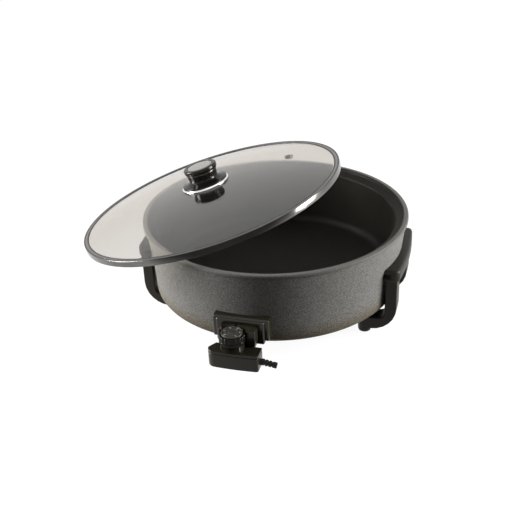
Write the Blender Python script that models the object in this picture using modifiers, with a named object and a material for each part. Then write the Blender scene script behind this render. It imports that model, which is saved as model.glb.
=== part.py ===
"""Electric cooking pot: a cast pan in a spun steel shell, on two moulded handles with feet,
with a plug-in thermostat control and a lift-off domed glass lid.

Metres, +Z up. The origin is the middle of the shell's flat underside. The control plugs in
from -Y, the handles stand at -X and +X, and the lid leans on the rim towards -X.
"""
import math

import bmesh
import bpy
from mathutils import Matrix, Vector

# Clearances between separate pieces
SEAT_GAP = 0.0003
SLIP_GAP = 0.0006
OVERRUN = 0.0040
MERGE = 0.00001

# Facets of the turned pieces
LARGE_STEPS = 48
REFLECTOR_STEPS = 24
KNOB_STEPS = 24
SMALL_STEPS = 12
FASTENER_STEPS = 8

# Cast pan: rim, step inside the rim, bowl
RIM_RADIUS = 0.2100
POT_HEIGHT = 0.1230
RIM_BAND_HEIGHT = 0.0066
RIM_TOP_WIDTH = 0.0086
RIM_ROUND = 0.0028
RIM_UNDERCUT = 0.0018
STEP_DROP = 0.0042
STEP_SLOPE_DROP = 0.0052
STEP_WIDTH = 0.0104
BOWL_DRAFT = 0.0045
BOWL_WALL = 0.0040
BOWL_CORNER = 0.0160
FLOOR_TOP = 0.0190
FLOOR_THICKNESS = 0.0050
BOSS_COUNT = 3
BOSS_RADIUS = 0.0065
BOSS_FROM_ELEMENT = 0.0490
BOSS_SCREW_RADIUS = 0.0020
BOSS_SCREW_DEPTH = 0.0070

# Spun outer shell
SHELL_RIM_INSET = 0.0030
SHELL_FLARE = 0.0090
SHELL_FLARE_POWER = 1.8
SHELL_CORNER = 0.0155
SHELL_WALL = 0.0014
SHELL_WALL_POINTS = 3
SHELL_CORNER_POINTS = 3
SHELL_BEAD_RADIUS = 0.0600
SHELL_BEAD_HALF_WIDTH = 0.0020
SHELL_BEAD_HEIGHT = 0.0006

# Heat reflector dish between the element and the shell
REFLECTOR_INSET = 0.0225
REFLECTOR_THICKNESS = 0.0006
REFLECTOR_HEIGHT = 0.0032
REFLECTOR_LIP = 0.0030

# Tubular heating element and the plug contacts
ELEMENT_TUBE_RADIUS = 0.0032
ELEMENT_INSET = 0.0437
ELEMENT_FILLET = 0.0120
ELEMENT_RISE_BEND = 0.0100
ELEMENT_TAIL_GAP = 0.0018
ELEMENT_TAIL_PAST_PIN = 0.0040
ELEMENT_RING_POINTS = 32
CONTACT_SPREAD = 0.0160
CONTACT_HEIGHT = 0.0310
PIN_RADIUS = 0.0023
PIN_REACH = 0.0122
PROBE_SLEEVE_RADIUS = 0.0045
PROBE_SLEEVE_FLOOR = 0.0012

# Moulded socket frame on the shell and its insulator
FRAME_HALF_WIDTH = 0.0425
FRAME_BOTTOM = 0.0160
FRAME_TOP = 0.0510
FRAME_STAND_OUT = 0.0115
COLLAR_HALF_WIDTH = 0.0360
COLLAR_BOTTOM = 0.0120
COLLAR_TOP = 0.0490
COLLAR_STAND_OUT = 0.0155
MOUTH_HALF_WIDTH = 0.0277
MOUTH_HALF_HEIGHT = 0.0122
FRAME_CORNER = 0.0025
FRAME_SCREW_SPREAD = 0.0360
INSULATOR_THICKNESS = 0.0032
INSULATOR_FROM_SHELL = 0.0014
WINDOW_HALF_WIDTH = 0.0225
WINDOW_HALF_HEIGHT = 0.0085
SCREW_SHANK_RADIUS = 0.0018
SCREW_HEAD_RADIUS = 0.0036
SCREW_HEAD_HEIGHT = 0.0022
SHELL_SCREW_LENGTH = 0.0100

# Handles with legs and feet
EAR_STAND_OUT = 0.0170
EAR_BOW = 0.0045
EAR_HALF_LENGTH = 0.0770
EAR_CORNER = 0.0090
EAR_BOTTOM = 0.0560
EAR_HEIGHT = 0.0205
EAR_EDGE = 0.0045
EAR_SKIN = 0.0050
EAR_SKIRT = 0.0055
GRIP_LEG_GAP = 0.0040
GRIP_CORNER = 0.0060
HANDLE_SCREW_INSET = 0.0150
LEG_STAND_OUT = 0.0085
LEG_WIDTH = 0.0180
LEG_FROM_END = 0.0020
LEG_DEPTH = 0.0290
LEG_OUTER_BEND = 0.0400
LEG_INNER_BEND = 0.0100
LEG_EDGE = 0.0015
FOOT_BAR_TOP = -0.0090
FOOT_BAR_BOTTOM = -0.0300
LEG_WALL_GAP = 0.0035
POST_RADIUS = 0.0105
POST_INSET = 0.0410
POST_FROM_FRONT = 0.0085
STAND_HEIGHT = 0.0360
PAD_THICKNESS = 0.0030
PAD_RADIUS = 0.0095
PAD_BORE = 0.0050
PAD_SIDES = 12
COUNTERBORE_RADIUS = 0.0046
COUNTERBORE_DEPTH = 0.0110
FOOT_SCREW_RADIUS = 0.0021
FOOT_SCREW_HEAD_RADIUS = 0.0040
FOOT_SCREW_HEAD_HEIGHT = 0.0025
NUT_RADIUS = 0.0045
NUT_HEIGHT = 0.0032
NUT_SIDES = 6

# Lid: where it leans, and its glass and band in its own axes (height above the band's lower edge)
LID_SHIFT_X = -0.1095
LID_SHIFT_Y = 0.0100
LID_TILT = math.radians(15.85)
LID_OVERHANG = 0.0075
LID_LEAN_GAP = 0.0006
BAND_WALL = 0.0008
BAND_LIP_WIDTH = 0.0070
BAND_SHOULDER_WIDTH = 0.0042
BAND_SHOULDER_HEIGHT = 0.0038
GLASS_THICKNESS = 0.0040
GLASS_FLANGE = 0.0060
DOME_RISE = 0.0240
DOME_POINTS = 5
GLASS_HOLE_RADIUS = 0.0045
VENT_INSET = 0.0659
VENT_ANGLE = math.radians(33.0)
VENT_FLANGE_RADIUS = 0.0068
VENT_TUBE_RADIUS = 0.0042
VENT_BORE = 0.0022
VENT_FLANGE_HEIGHT = 0.0012

# Lid knob
SEAT_RING_RADIUS = 0.0375
SEAT_RING_BORE = 0.0300
SEAT_RING_HEIGHT = 0.0020
FLANGE_RADIUS = 0.0368
FLANGE_EDGE = 0.0016
WAIST_RADIUS = 0.0238
WAIST_TOP_RADIUS = 0.0248
WAIST_FOOT_HEIGHT = 0.0085
WAIST_HEIGHT = 0.0180
HUB_RADIUS = 0.0090
COLLAR_RING_RADIUS = 0.0256
COLLAR_RING_HEIGHT = 0.0016
CAP_RADIUS = 0.0272
CAP_HEIGHT = 0.0078
CAP_EDGE = 0.0016
INSET_RADIUS = 0.0198
INSET_DEPTH = 0.0014
INSET_CROWN = 0.0006
INSET_MIDDLE_SHARES = (0.6, 0.7)
KNOB_SCREW_RADIUS = 0.0020
KNOB_SCREW_REACH = 0.0180
WASHER_RADIUS = 0.0100
WASHER_HEIGHT = 0.0015
KNOB_SCREW_HEAD_RADIUS = 0.0055
KNOB_SCREW_HEAD_HEIGHT = 0.0028
KNOB_SCREW_TOP_SHARE = 0.6

# Plug-in control: its body in plan, neck, dial, probe, strain relief
BODY_LEFT = -0.0405
BODY_RIGHT = 0.0365
BODY_GAP = 0.0135
BODY_DEPTH = 0.0250
BODY_FRONT_BOW = 0.0012
BODY_LEFT_SLANT = 0.0080
BODY_LEFT_CORNER = 0.0120
BODY_RIGHT_CORNER = 0.0035
BODY_BOTTOM = -0.0095
BODY_SPLIT = 0.0125
BODY_TOP = 0.0170
BODY_WALL = 0.0022
BODY_EDGE = 0.0010
NECK_HALF_WIDTH = 0.0270
NECK_HALF_HEIGHT = 0.0115
NECK_IN_BODY = 0.0025
NECK_EDGE = 0.0012
NECK_ENGAGEMENT = 0.0100
DIAL_X = -0.0055
DIAL_FROM_REAR = 0.0075
DIAL_COLLAR_RADIUS = 0.0176
DIAL_COLLAR_HEIGHT = 0.0098
DIAL_RADIUS = 0.0196
DIAL_HEIGHT = 0.0136
DIAL_FLUTES = 18
DIAL_FLUTE_DEPTH = 0.0007
DIAL_TOP_EDGE = 0.0022
DIAL_SCOOP_GAP = 0.0012
DIAL_CAP_RADIUS = 0.0155
DIAL_CAP_HEIGHT = 0.0016
DIAL_BORE_DEPTH = 0.0090
SPINDLE_RADIUS = 0.0030
SWITCH_HALF_WIDTH = 0.0150
SWITCH_DEPTH = 0.0150
SWITCH_HEIGHT = 0.0120
SLEEVE_RADIUS = 0.0040
SLEEVE_WALL = 0.0010
PROBE_RADIUS = 0.0025
RELIEF_FROM_REAR = 0.0085
RELIEF_HEIGHT = -0.0012
RELIEF_LENGTH = 0.0235
RELIEF_DROP = math.radians(9.0)
RELIEF_RADIUS = 0.0052
RELIEF_TIP_SHARE = 0.86
RELIEF_BORE = 0.0033
RELIEF_RIBS = 4
RELIEF_RIB_DEPTH = 0.0012
RELIEF_GROOVE_SHARES = (0.30, 0.38)
RELIEF_NECK_RADIUS = 0.0043
RELIEF_FLANGE_RADIUS = 0.0060
RELIEF_FLANGE_LENGTH = 0.0020

# Heights and radii that follow from the sizes above
SHELL_LOW_RADIUS = RIM_RADIUS - SHELL_RIM_INSET - SHELL_FLARE
RIM_LOWER = POT_HEIGHT - RIM_BAND_HEIGHT
SHELL_TOP = RIM_LOWER - SEAT_GAP
BOWL_TOP_RADIUS = RIM_RADIUS - RIM_TOP_WIDTH - STEP_WIDTH - RIM_UNDERCUT
BOWL_LOW_RADIUS = BOWL_TOP_RADIUS - BOWL_DRAFT
REFLECTOR_RADIUS = SHELL_LOW_RADIUS - SHELL_CORNER - REFLECTOR_INSET
ELEMENT_RING_RADIUS = BOWL_LOW_RADIUS - BOWL_CORNER - ELEMENT_INSET
BOSS_CIRCLE = ELEMENT_RING_RADIUS - BOSS_FROM_ELEMENT
FLOOR_UNDERSIDE = FLOOR_TOP - FLOOR_THICKNESS
ELEMENT_HEIGHT = FLOOR_UNDERSIDE - SEAT_GAP - ELEMENT_TUBE_RADIUS
FRAME_FRONT = -(SHELL_LOW_RADIUS + FRAME_STAND_OUT)
COLLAR_FRONT = -(SHELL_LOW_RADIUS + COLLAR_STAND_OUT)
NECK_REAR = COLLAR_FRONT + NECK_ENGAGEMENT
PROBE_REAR = COLLAR_FRONT + SLIP_GAP
EAR_REACH = SHELL_LOW_RADIUS + EAR_STAND_OUT
LEG_OUTER = SHELL_LOW_RADIUS + LEG_STAND_OUT
LEG_FRONT = EAR_HALF_LENGTH - LEG_FROM_END
GRIP_HALF_LENGTH = LEG_FRONT - LEG_DEPTH - GRIP_LEG_GAP
HANDLE_SCREW_OFFSET = EAR_HALF_LENGTH - HANDLE_SCREW_INSET
POST_X = SHELL_LOW_RADIUS - POST_INSET
POST_Y = LEG_FRONT - POST_FROM_FRONT
PAD_BOTTOM = -STAND_HEIGHT
POST_BOTTOM = PAD_BOTTOM + PAD_THICKNESS + SEAT_GAP
LID_RADIUS = RIM_RADIUS + LID_OVERHANG
GLASS_EDGE_RADIUS = LID_RADIUS - BAND_WALL - SEAT_GAP
DOME_RADIUS = GLASS_EDGE_RADIUS - GLASS_FLANGE
VENT_DISTANCE = DOME_RADIUS - VENT_INSET
GLASS_EDGE_HEIGHT = BAND_SHOULDER_HEIGHT + BAND_WALL + SEAT_GAP
BOSS_FOOT = SHELL_WALL + SEAT_GAP + REFLECTOR_THICKNESS + SEAT_GAP
BODY_REAR = COLLAR_FRONT - BODY_GAP
BODY_FRONT = BODY_REAR - BODY_DEPTH
NECK_FRONT = BODY_REAR - NECK_IN_BODY
DIAL_Y = BODY_REAR - DIAL_FROM_REAR
RELIEF_Y = BODY_REAR - RELIEF_FROM_REAR
DIAL_COLLAR_TOP = BODY_TOP + DIAL_COLLAR_HEIGHT
DIAL_BOTTOM = DIAL_COLLAR_TOP + SLIP_GAP
DIAL_TOP = DIAL_BOTTOM + DIAL_HEIGHT

for old in list(bpy.data.objects):
    bpy.data.objects.remove(old, do_unlink=True)

parts = bpy.data.collections.new("electric_cooking_pot")
bpy.context.scene.collection.children.link(parts)
cutters = bpy.data.collections.new("cutters")
bpy.context.scene.collection.children.link(cutters)


def material(name, colour, roughness, metallic=0.0, transmission=0.0):
    """Principled material of one finish."""
    made = bpy.data.materials.get(name)
    if made is None:
        made = bpy.data.materials.new(name)
        made.use_nodes = True
        shader = made.node_tree.nodes["Principled BSDF"]
        shader.inputs["Base Color"].default_value = (*colour, 1.0)
        shader.inputs["Roughness"].default_value = roughness
        shader.inputs["Metallic"].default_value = metallic
        shader.inputs["Transmission Weight"].default_value = transmission
    return made


def add_object(name, mesh, finish=None, parent=None):
    """New object in the part's collection, or among the cutters when it has no finish."""
    made = bpy.data.objects.new(name, mesh)
    if finish is None:
        cutters.objects.link(made)
        made.hide_render = True
        made.display_type = "WIRE"
    else:
        parts.objects.link(made)
        mesh.materials.append(finish)
        made.parent = parent
    return made


def mesh_from(name, shape, smooth=True):
    """Mesh data from a finished bmesh."""
    bmesh.ops.recalc_face_normals(shape, faces=shape.faces[:])
    mesh = bpy.data.meshes.new(name)
    shape.to_mesh(mesh)
    shape.free()
    if smooth:
        mesh.shade_smooth()
        mesh.set_sharp_from_angle(angle=math.radians(35.0))
    return mesh


def arc(centre_x, centre_z, radius, start, end, count):
    """Points of an arc in degrees, both ends included."""
    points = []
    for index in range(count + 1):
        angle = math.radians(start + (end - start) * index / count)
        points.append((centre_x + radius * math.cos(angle), centre_z + radius * math.sin(angle)))
    return points


def turned(name, profile, steps, finish=None, parent=None, closed=False):
    """Turned piece: a profile at +X, running down its outer side, with a Screw modifier."""
    mesh = bpy.data.meshes.new(name)
    edges = [(index, index + 1) for index in range(len(profile) - 1)]
    if closed:
        edges.append((len(profile) - 1, 0))
    mesh.from_pydata([(radius, 0.0, height) for radius, height in profile], edges, [])
    made = add_object(name, mesh, finish, parent)
    screw = made.modifiers.new("turn", "SCREW")
    screw.angle = math.tau
    screw.steps = steps
    screw.render_steps = steps
    screw.use_merge_vertices = True
    screw.merge_threshold = MERGE
    screw.use_smooth_shade = True
    return made


def box_shape(low, high):
    """bmesh box between two corners."""
    shape = bmesh.new()
    bmesh.ops.create_cube(shape, size=1.0)
    size = [top - bottom for bottom, top in zip(low, high)]
    middle = [(top + bottom) / 2 for bottom, top in zip(low, high)]
    bmesh.ops.scale(shape, vec=Vector(size), verts=shape.verts[:])
    bmesh.ops.translate(shape, vec=Vector(middle), verts=shape.verts[:])
    return shape


def box(name, low, high, finish=None, parent=None, edge=0.0, segments=2):
    """Box with rounded edges."""
    made = add_object(name, mesh_from(name, box_shape(low, high)), finish, parent)
    if edge:
        round_edges(made, edge, segments)
    return made


def rod_shape(radius, start, end, steps=SMALL_STEPS):
    """bmesh cylinder between two points."""
    shape = bmesh.new()
    run = Vector(end) - Vector(start)
    turn = run.to_track_quat("Z", "Y").to_matrix().to_4x4()
    place = Matrix.Translation((Vector(start) + Vector(end)) / 2) @ turn
    bmesh.ops.create_cone(shape, cap_ends=True, segments=steps, radius1=radius, radius2=radius,
                          depth=run.length, matrix=place)
    return shape


def rod(name, radius, start, end, finish=None, parent=None, steps=SMALL_STEPS):
    """Cylinder between two points."""
    return add_object(name, mesh_from(name, rod_shape(radius, start, end, steps)), finish, parent)


def ring_mesh(name, outer, bore, height, sides):
    """Flat ring standing on z = 0, round or with flats."""
    shape = bmesh.new()
    rings = [bmesh.ops.create_circle(shape, segments=sides, radius=radius)["verts"]
             for radius in (outer, bore)]
    edges = {edge for ring in rings for vert in ring for edge in vert.link_edges}
    bmesh.ops.bridge_loops(shape, edges=list(edges))
    grown = bmesh.ops.extrude_face_region(shape, geom=shape.faces[:])
    moved = [item for item in grown["geom"] if isinstance(item, bmesh.types.BMVert)]
    bmesh.ops.translate(shape, vec=Vector((0.0, 0.0, height)), verts=moved)
    return mesh_from(name, shape)


def plate_shape(outline, low, high, axis="Z"):
    """bmesh prism: an outline pushed along Z, or an XZ outline pushed along Y."""
    shape = bmesh.new()
    if axis == "Z":
        ring = [shape.verts.new((u, v, low)) for u, v in outline]
        push = Vector((0.0, 0.0, high - low))
    else:
        ring = [shape.verts.new((u, low, v)) for u, v in outline]
        push = Vector((0.0, high - low, 0.0))
    face = shape.faces.new(ring)
    grown = bmesh.ops.extrude_face_region(shape, geom=[face])
    moved = [item for item in grown["geom"] if isinstance(item, bmesh.types.BMVert)]
    bmesh.ops.translate(shape, vec=push, verts=moved)
    return shape


def joined(shapes):
    """One bmesh holding several separate solids."""
    whole = bmesh.new()
    for shape in shapes:
        piece = bpy.data.meshes.new("piece")
        bmesh.ops.recalc_face_normals(shape, faces=shape.faces[:])
        shape.to_mesh(piece)
        shape.free()
        whole.from_mesh(piece)
        bpy.data.meshes.remove(piece)
    return whole


def round_edges(made, width, segments=2, angle=40.0):
    """Bevel modifier on every edge sharper than the angle."""
    bevel = made.modifiers.new("edge", "BEVEL")
    bevel.width = width
    bevel.segments = segments
    bevel.limit_method = "ANGLE"
    bevel.angle_limit = math.radians(angle)
    return made


def combine(made, other, operation):
    """Boolean modifier with another object."""
    step = made.modifiers.new(operation.lower(), "BOOLEAN")
    step.operation = operation
    step.solver = "EXACT"
    step.object = other
    return made


def cut(made, cutter):
    """Take the cutter out of a piece."""
    return combine(made, cutter, "DIFFERENCE")


def shell_wall_radius(height):
    """Outer radius of the shell's flared wall at a height."""
    share = (height - SHELL_CORNER) / (SHELL_TOP - SHELL_CORNER)
    return SHELL_LOW_RADIUS + SHELL_FLARE * max(0.0, share) ** SHELL_FLARE_POWER


def shell_profile(grow=0.0, top=SHELL_TOP):
    """Outer line of the shell from its top edge to its underside, grown outwards."""
    points = []
    for index in range(SHELL_WALL_POINTS + 1):
        height = top + (SHELL_CORNER - top) * index / SHELL_WALL_POINTS
        points.append((shell_wall_radius(height) + grow, height))
    corner = arc(SHELL_LOW_RADIUS - SHELL_CORNER, SHELL_CORNER, SHELL_CORNER + grow, 0.0, -90.0,
                 SHELL_CORNER_POINTS)
    points += corner[1:]
    points.append((0.0, -grow))
    return points


def bowl_outer_radius(height):
    """Outer radius of the cast bowl at a height."""
    corner = BOWL_CORNER + BOWL_WALL
    low_radius = BOWL_LOW_RADIUS + BOWL_WALL
    lift = FLOOR_UNDERSIDE + corner - height
    if lift > 0.0:
        return low_radius - corner + math.sqrt(max(0.0, corner ** 2 - lift ** 2))
    share = -lift / (RIM_LOWER - FLOOR_UNDERSIDE - corner)
    return low_radius + BOWL_DRAFT * share


def glass_underside(radius):
    """Height of the dome's underside above the band's lower edge."""
    return GLASS_EDGE_HEIGHT + DOME_RISE * (1.0 - min(1.0, radius / DOME_RADIUS) ** 2)


def radial_point(radius, angle, height):
    """Point on a circle about the pot's axis."""
    return Vector((radius * math.cos(angle), radius * math.sin(angle), height))


# Finishes
CAST = material("cast_non_stick", (0.045, 0.046, 0.050), 0.42, 0.2)
SPECKLED = material("speckled_coat", (0.060, 0.060, 0.064), 0.50, 0.3)
STEEL = material("polished_steel", (0.72, 0.72, 0.73), 0.16, 1.0)
ZINC = material("zinc_plated_steel", (0.60, 0.61, 0.63), 0.32, 1.0)
ELEMENT = material("element_steel", (0.33, 0.31, 0.30), 0.45, 1.0)
ALUMINIUM = material("bright_aluminium", (0.78, 0.78, 0.79), 0.28, 1.0)
BRASS = material("nickel_brass", (0.70, 0.66, 0.56), 0.25, 1.0)
CERAMIC = material("ceramic", (0.83, 0.81, 0.76), 0.60)
PHENOLIC = material("black_phenolic", (0.016, 0.015, 0.015), 0.33)
NYLON = material("black_nylon", (0.014, 0.014, 0.014), 0.28)
RUBBER = material("black_rubber", (0.020, 0.020, 0.020), 0.70)
SILICONE = material("clear_silicone", (0.72, 0.70, 0.66), 0.45)
GLASS = material("smoked_glass", (0.80, 0.77, 0.72), 0.03, 0.0, 1.0)
BRUSHED = material("brushed_metal", (0.66, 0.65, 0.63), 0.30, 1.0)


def shell_space(name, grow):
    """Closed cutter of the shell's outer form, grown outwards."""
    line = shell_profile(grow, SHELL_TOP + OVERRUN)
    return turned(name, [(0.0, line[0][1])] + line, LARGE_STEPS)


def make_cooking_pan():
    """Cast pan: floor, bowl, step and rim in one turned casting, with screw bosses below."""
    ledge_top = POT_HEIGHT - STEP_DROP
    ledge_low = ledge_top - STEP_SLOPE_DROP
    rim_inner = RIM_RADIUS - RIM_TOP_WIDTH
    profile = [(0.0, FLOOR_TOP)]
    profile += arc(BOWL_LOW_RADIUS - BOWL_CORNER, FLOOR_TOP + BOWL_CORNER, BOWL_CORNER, -90.0, 0.0, 4)
    profile += [
        (BOWL_TOP_RADIUS, ledge_low - STEP_DROP / 2),
        (BOWL_TOP_RADIUS + RIM_UNDERCUT, ledge_low),
        (rim_inner - RIM_UNDERCUT, ledge_top),
        (rim_inner, POT_HEIGHT - RIM_UNDERCUT / 2),
        (rim_inner + RIM_UNDERCUT / 2, POT_HEIGHT),
    ]
    profile += arc(RIM_RADIUS - RIM_ROUND, POT_HEIGHT - RIM_ROUND, RIM_ROUND, 90.0, 0.0, 3)
    corner = BOWL_CORNER + BOWL_WALL
    outer_low = BOWL_LOW_RADIUS + BOWL_WALL
    profile += [
        (RIM_RADIUS - RIM_UNDERCUT, RIM_LOWER),
        (rim_inner - RIM_UNDERCUT, RIM_LOWER),
        (bowl_outer_radius(RIM_LOWER - STEP_DROP), RIM_LOWER - STEP_DROP),
    ]
    profile += arc(outer_low - corner, FLOOR_UNDERSIDE + corner, corner, 0.0, -90.0, 3)
    profile.append((0.0, FLOOR_UNDERSIDE))
    pan = turned("cooking_pan", profile, LARGE_STEPS, CAST)
    bosses = []
    holes = []
    for angle in boss_angles():
        bosses.append(rod_shape(BOSS_RADIUS, radial_point(BOSS_CIRCLE, angle, BOSS_FOOT),
                                radial_point(BOSS_CIRCLE, angle, FLOOR_UNDERSIDE + FLOOR_THICKNESS / 2)))
        holes.append(rod_shape(BOSS_SCREW_RADIUS + SEAT_GAP, radial_point(BOSS_CIRCLE, angle, 0.0),
                               radial_point(BOSS_CIRCLE, angle, BOSS_FOOT + BOSS_SCREW_DEPTH + SEAT_GAP)))
    combine(pan, add_object("pan_bosses", mesh_from("pan_bosses", joined(bosses))), "UNION")
    cut(pan, add_object("pan_boss_holes", mesh_from("pan_boss_holes", joined(holes))))


def foot_places():
    """The four foot posts as signs of X and Y."""
    return [(side, end) for side in (-1.0, 1.0) for end in (-1.0, 1.0)]


def shell_screw_places():
    """Radial screws through the shell's wall: two for the socket frame, four for the handles."""
    places = []
    for end in (-1.0, 1.0):
        angle = -math.pi / 2 + end * math.asin(FRAME_SCREW_SPREAD / SHELL_LOW_RADIUS)
        places.append((angle, CONTACT_HEIGHT))
    height = EAR_BOTTOM + EAR_HEIGHT / 2
    for base in (0.0, math.pi):
        for end in (-1.0, 1.0):
            angle = base + end * math.asin(HANDLE_SCREW_OFFSET / shell_wall_radius(height))
            places.append((angle, height))
    return places


def shell_screw_holes(name):
    """Cutter for every screw through the shell's wall."""
    shapes = []
    for angle, height in shell_screw_places():
        radius = shell_wall_radius(height)
        start = radial_point(radius - OVERRUN, angle, height)
        end = radial_point(radius + SHELL_SCREW_LENGTH + SEAT_GAP, angle, height)
        shapes.append(rod_shape(SCREW_SHANK_RADIUS + SEAT_GAP, start, end))
    return add_object(name, mesh_from(name, joined(shapes)))


def make_outer_shell(screw_holes):
    """Spun shell: flared wall, rounded corner and flat underside with a stiffening bead, open at the top."""
    bead = [
        (SHELL_BEAD_RADIUS + SHELL_BEAD_HALF_WIDTH, 0.0),
        (SHELL_BEAD_RADIUS, SHELL_BEAD_HEIGHT),
        (SHELL_BEAD_RADIUS - SHELL_BEAD_HALF_WIDTH, 0.0),
    ]
    profile = shell_profile()
    profile[-1:-1] = bead
    shell = turned("outer_shell", profile, LARGE_STEPS, SPECKLED)
    wall = shell.modifiers.new("wall", "SOLIDIFY")
    wall.thickness = SHELL_WALL
    wall.offset = -1.0
    wall.use_even_offset = True
    window = box("shell_window",
                 (-WINDOW_HALF_WIDTH, -SHELL_LOW_RADIUS - OVERRUN, CONTACT_HEIGHT - WINDOW_HALF_HEIGHT),
                 (WINDOW_HALF_WIDTH, -SHELL_LOW_RADIUS + SHELL_CORNER, CONTACT_HEIGHT + WINDOW_HALF_HEIGHT))
    cut(shell, window)
    cut(shell, screw_holes)
    shapes = []
    for angle in boss_angles():
        shapes.append(rod_shape(BOSS_SCREW_RADIUS + SEAT_GAP, radial_point(BOSS_CIRCLE, angle, -OVERRUN),
                                radial_point(BOSS_CIRCLE, angle, SHELL_WALL + OVERRUN)))
    for side, end in foot_places():
        spot = Vector((side * POST_X, end * POST_Y, 0.0))
        shapes.append(rod_shape(FOOT_SCREW_RADIUS + SEAT_GAP, spot - Vector((0.0, 0.0, OVERRUN)),
                                spot + Vector((0.0, 0.0, SHELL_WALL + OVERRUN))))
    cut(shell, add_object("shell_floor_holes", mesh_from("shell_floor_holes", joined(shapes))))


def make_heat_reflector():
    """Pressed dish under the element, with a sunk ring that the body screws clamp."""
    low = REFLECTOR_HEIGHT
    high = low + REFLECTOR_THICKNESS
    sunk = BOSS_FOOT - SEAT_GAP
    half = BOSS_RADIUS + REFLECTOR_LIP
    slope = high - sunk
    lip = REFLECTOR_RADIUS - REFLECTOR_LIP
    over = [(0.0, high), (BOSS_CIRCLE - half, high), (BOSS_CIRCLE - half + slope, sunk),
            (BOSS_CIRCLE + half - slope, sunk), (BOSS_CIRCLE + half, high), (lip, high),
            (REFLECTOR_RADIUS, high + REFLECTOR_LIP)]
    under = [(radius, height - REFLECTOR_THICKNESS) for radius, height in over]
    under[-1] = (REFLECTOR_RADIUS + REFLECTOR_THICKNESS, low + REFLECTOR_LIP)
    dish = turned("heat_reflector", over + under[::-1], REFLECTOR_STEPS, ALUMINIUM)
    shapes = [rod_shape(BOSS_SCREW_RADIUS + SEAT_GAP, radial_point(BOSS_CIRCLE, angle, 0.0),
                        radial_point(BOSS_CIRCLE, angle, high + OVERRUN)) for angle in boss_angles()]
    cut(dish, add_object("reflector_holes", mesh_from("reflector_holes", joined(shapes))))


def upright(place):
    """Matrix that only moves a piece to a place."""
    return Matrix.Translation(place)


def aimed(place, direction):
    """Matrix that moves a piece to a place and turns its Z along a direction."""
    return Matrix.Translation(place) @ direction.to_track_quat("Z", "Y").to_matrix().to_4x4()


def copies(first, names, places):
    """Set the first object in place and add one more object for each further name."""
    first.matrix_world = places[0]
    for name, place in zip(names[1:], places[1:]):
        other = first.copy()
        other.name = name
        parts.objects.link(other)
        other.matrix_world = place


def screws(names, places, shank, length, head, head_height, finish):
    """Equal screws: the seat of the head lies at each place, the shank runs along its Z."""
    profile = [(0.0, length), (shank, length), (shank, 0.0), (head, 0.0),
               (head - head_height / 3, -head_height), (0.0, -head_height)]
    first = turned(names[0], profile, FASTENER_STEPS, finish)
    copies(first, names, places)


def boss_angles():
    """Directions of the bosses under the pan."""
    return [math.tau * (index + 0.25) / BOSS_COUNT for index in range(BOSS_COUNT)]


def make_body_screws():
    """Three screws from below that hold the shell and the reflector to the pan's bosses."""
    names = ["body_screw_%d" % (index + 1) for index in range(BOSS_COUNT)]
    places = [upright(radial_point(BOSS_CIRCLE, angle, -SEAT_GAP)) for angle in boss_angles()]
    length = BOSS_FOOT + BOSS_SCREW_DEPTH
    screws(names, places, BOSS_SCREW_RADIUS, length, SCREW_HEAD_RADIUS, SCREW_HEAD_HEIGHT, ZINC)


def element_path():
    """Middle line of the element: up one tail, round the ring and down the other tail."""
    tail_y = -(bowl_outer_radius(CONTACT_HEIGHT) + ELEMENT_TAIL_GAP / 2 + ELEMENT_TUBE_RADIUS)
    ring = ELEMENT_RING_RADIUS
    middle_x = CONTACT_SPREAD + ELEMENT_FILLET
    middle_y = -math.sqrt((ring + ELEMENT_FILLET) ** 2 - middle_x ** 2)
    touch = math.atan2(middle_y, middle_x)
    half = [Vector((CONTACT_SPREAD, tail_y, CONTACT_HEIGHT + PIN_RADIUS + ELEMENT_TAIL_PAST_PIN))]
    bend_y = tail_y + ELEMENT_RISE_BEND
    bend_z = ELEMENT_HEIGHT + ELEMENT_RISE_BEND
    for y, z in arc(bend_y, bend_z, ELEMENT_RISE_BEND, 180.0, 270.0, 3):
        half.append(Vector((CONTACT_SPREAD, y, z)))
    for x, y in arc(middle_x, middle_y, ELEMENT_FILLET, 180.0, math.degrees(touch) + 180.0, 3):
        half.append(Vector((x, y, ELEMENT_HEIGHT)))
    count = ELEMENT_RING_POINTS // 2
    for index in range(1, count + 1):
        angle = touch + (math.pi / 2 - touch) * index / count
        half.append(Vector((ring * math.cos(angle), ring * math.sin(angle), ELEMENT_HEIGHT)))
    other = [Vector((-point.x, point.y, point.z)) for point in reversed(half[:-1])]
    return half + other, tail_y


def make_heating_element():
    """Tubular element bent to a ring, with two tails that rise behind the socket."""
    path, tail_y = element_path()
    curve = bpy.data.curves.new("heating_element", "CURVE")
    curve.dimensions = "3D"
    curve.bevel_depth = ELEMENT_TUBE_RADIUS
    curve.bevel_resolution = 2
    curve.use_fill_caps = True
    line = curve.splines.new("POLY")
    line.points.add(len(path) - 1)
    for point, place in zip(line.points, path):
        point.co = (*place, 1.0)
    element = add_object("heating_element", curve, ELEMENT)
    weld = element.modifiers.new("weld", "WELD")
    weld.merge_threshold = MERGE
    return tail_y


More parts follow.
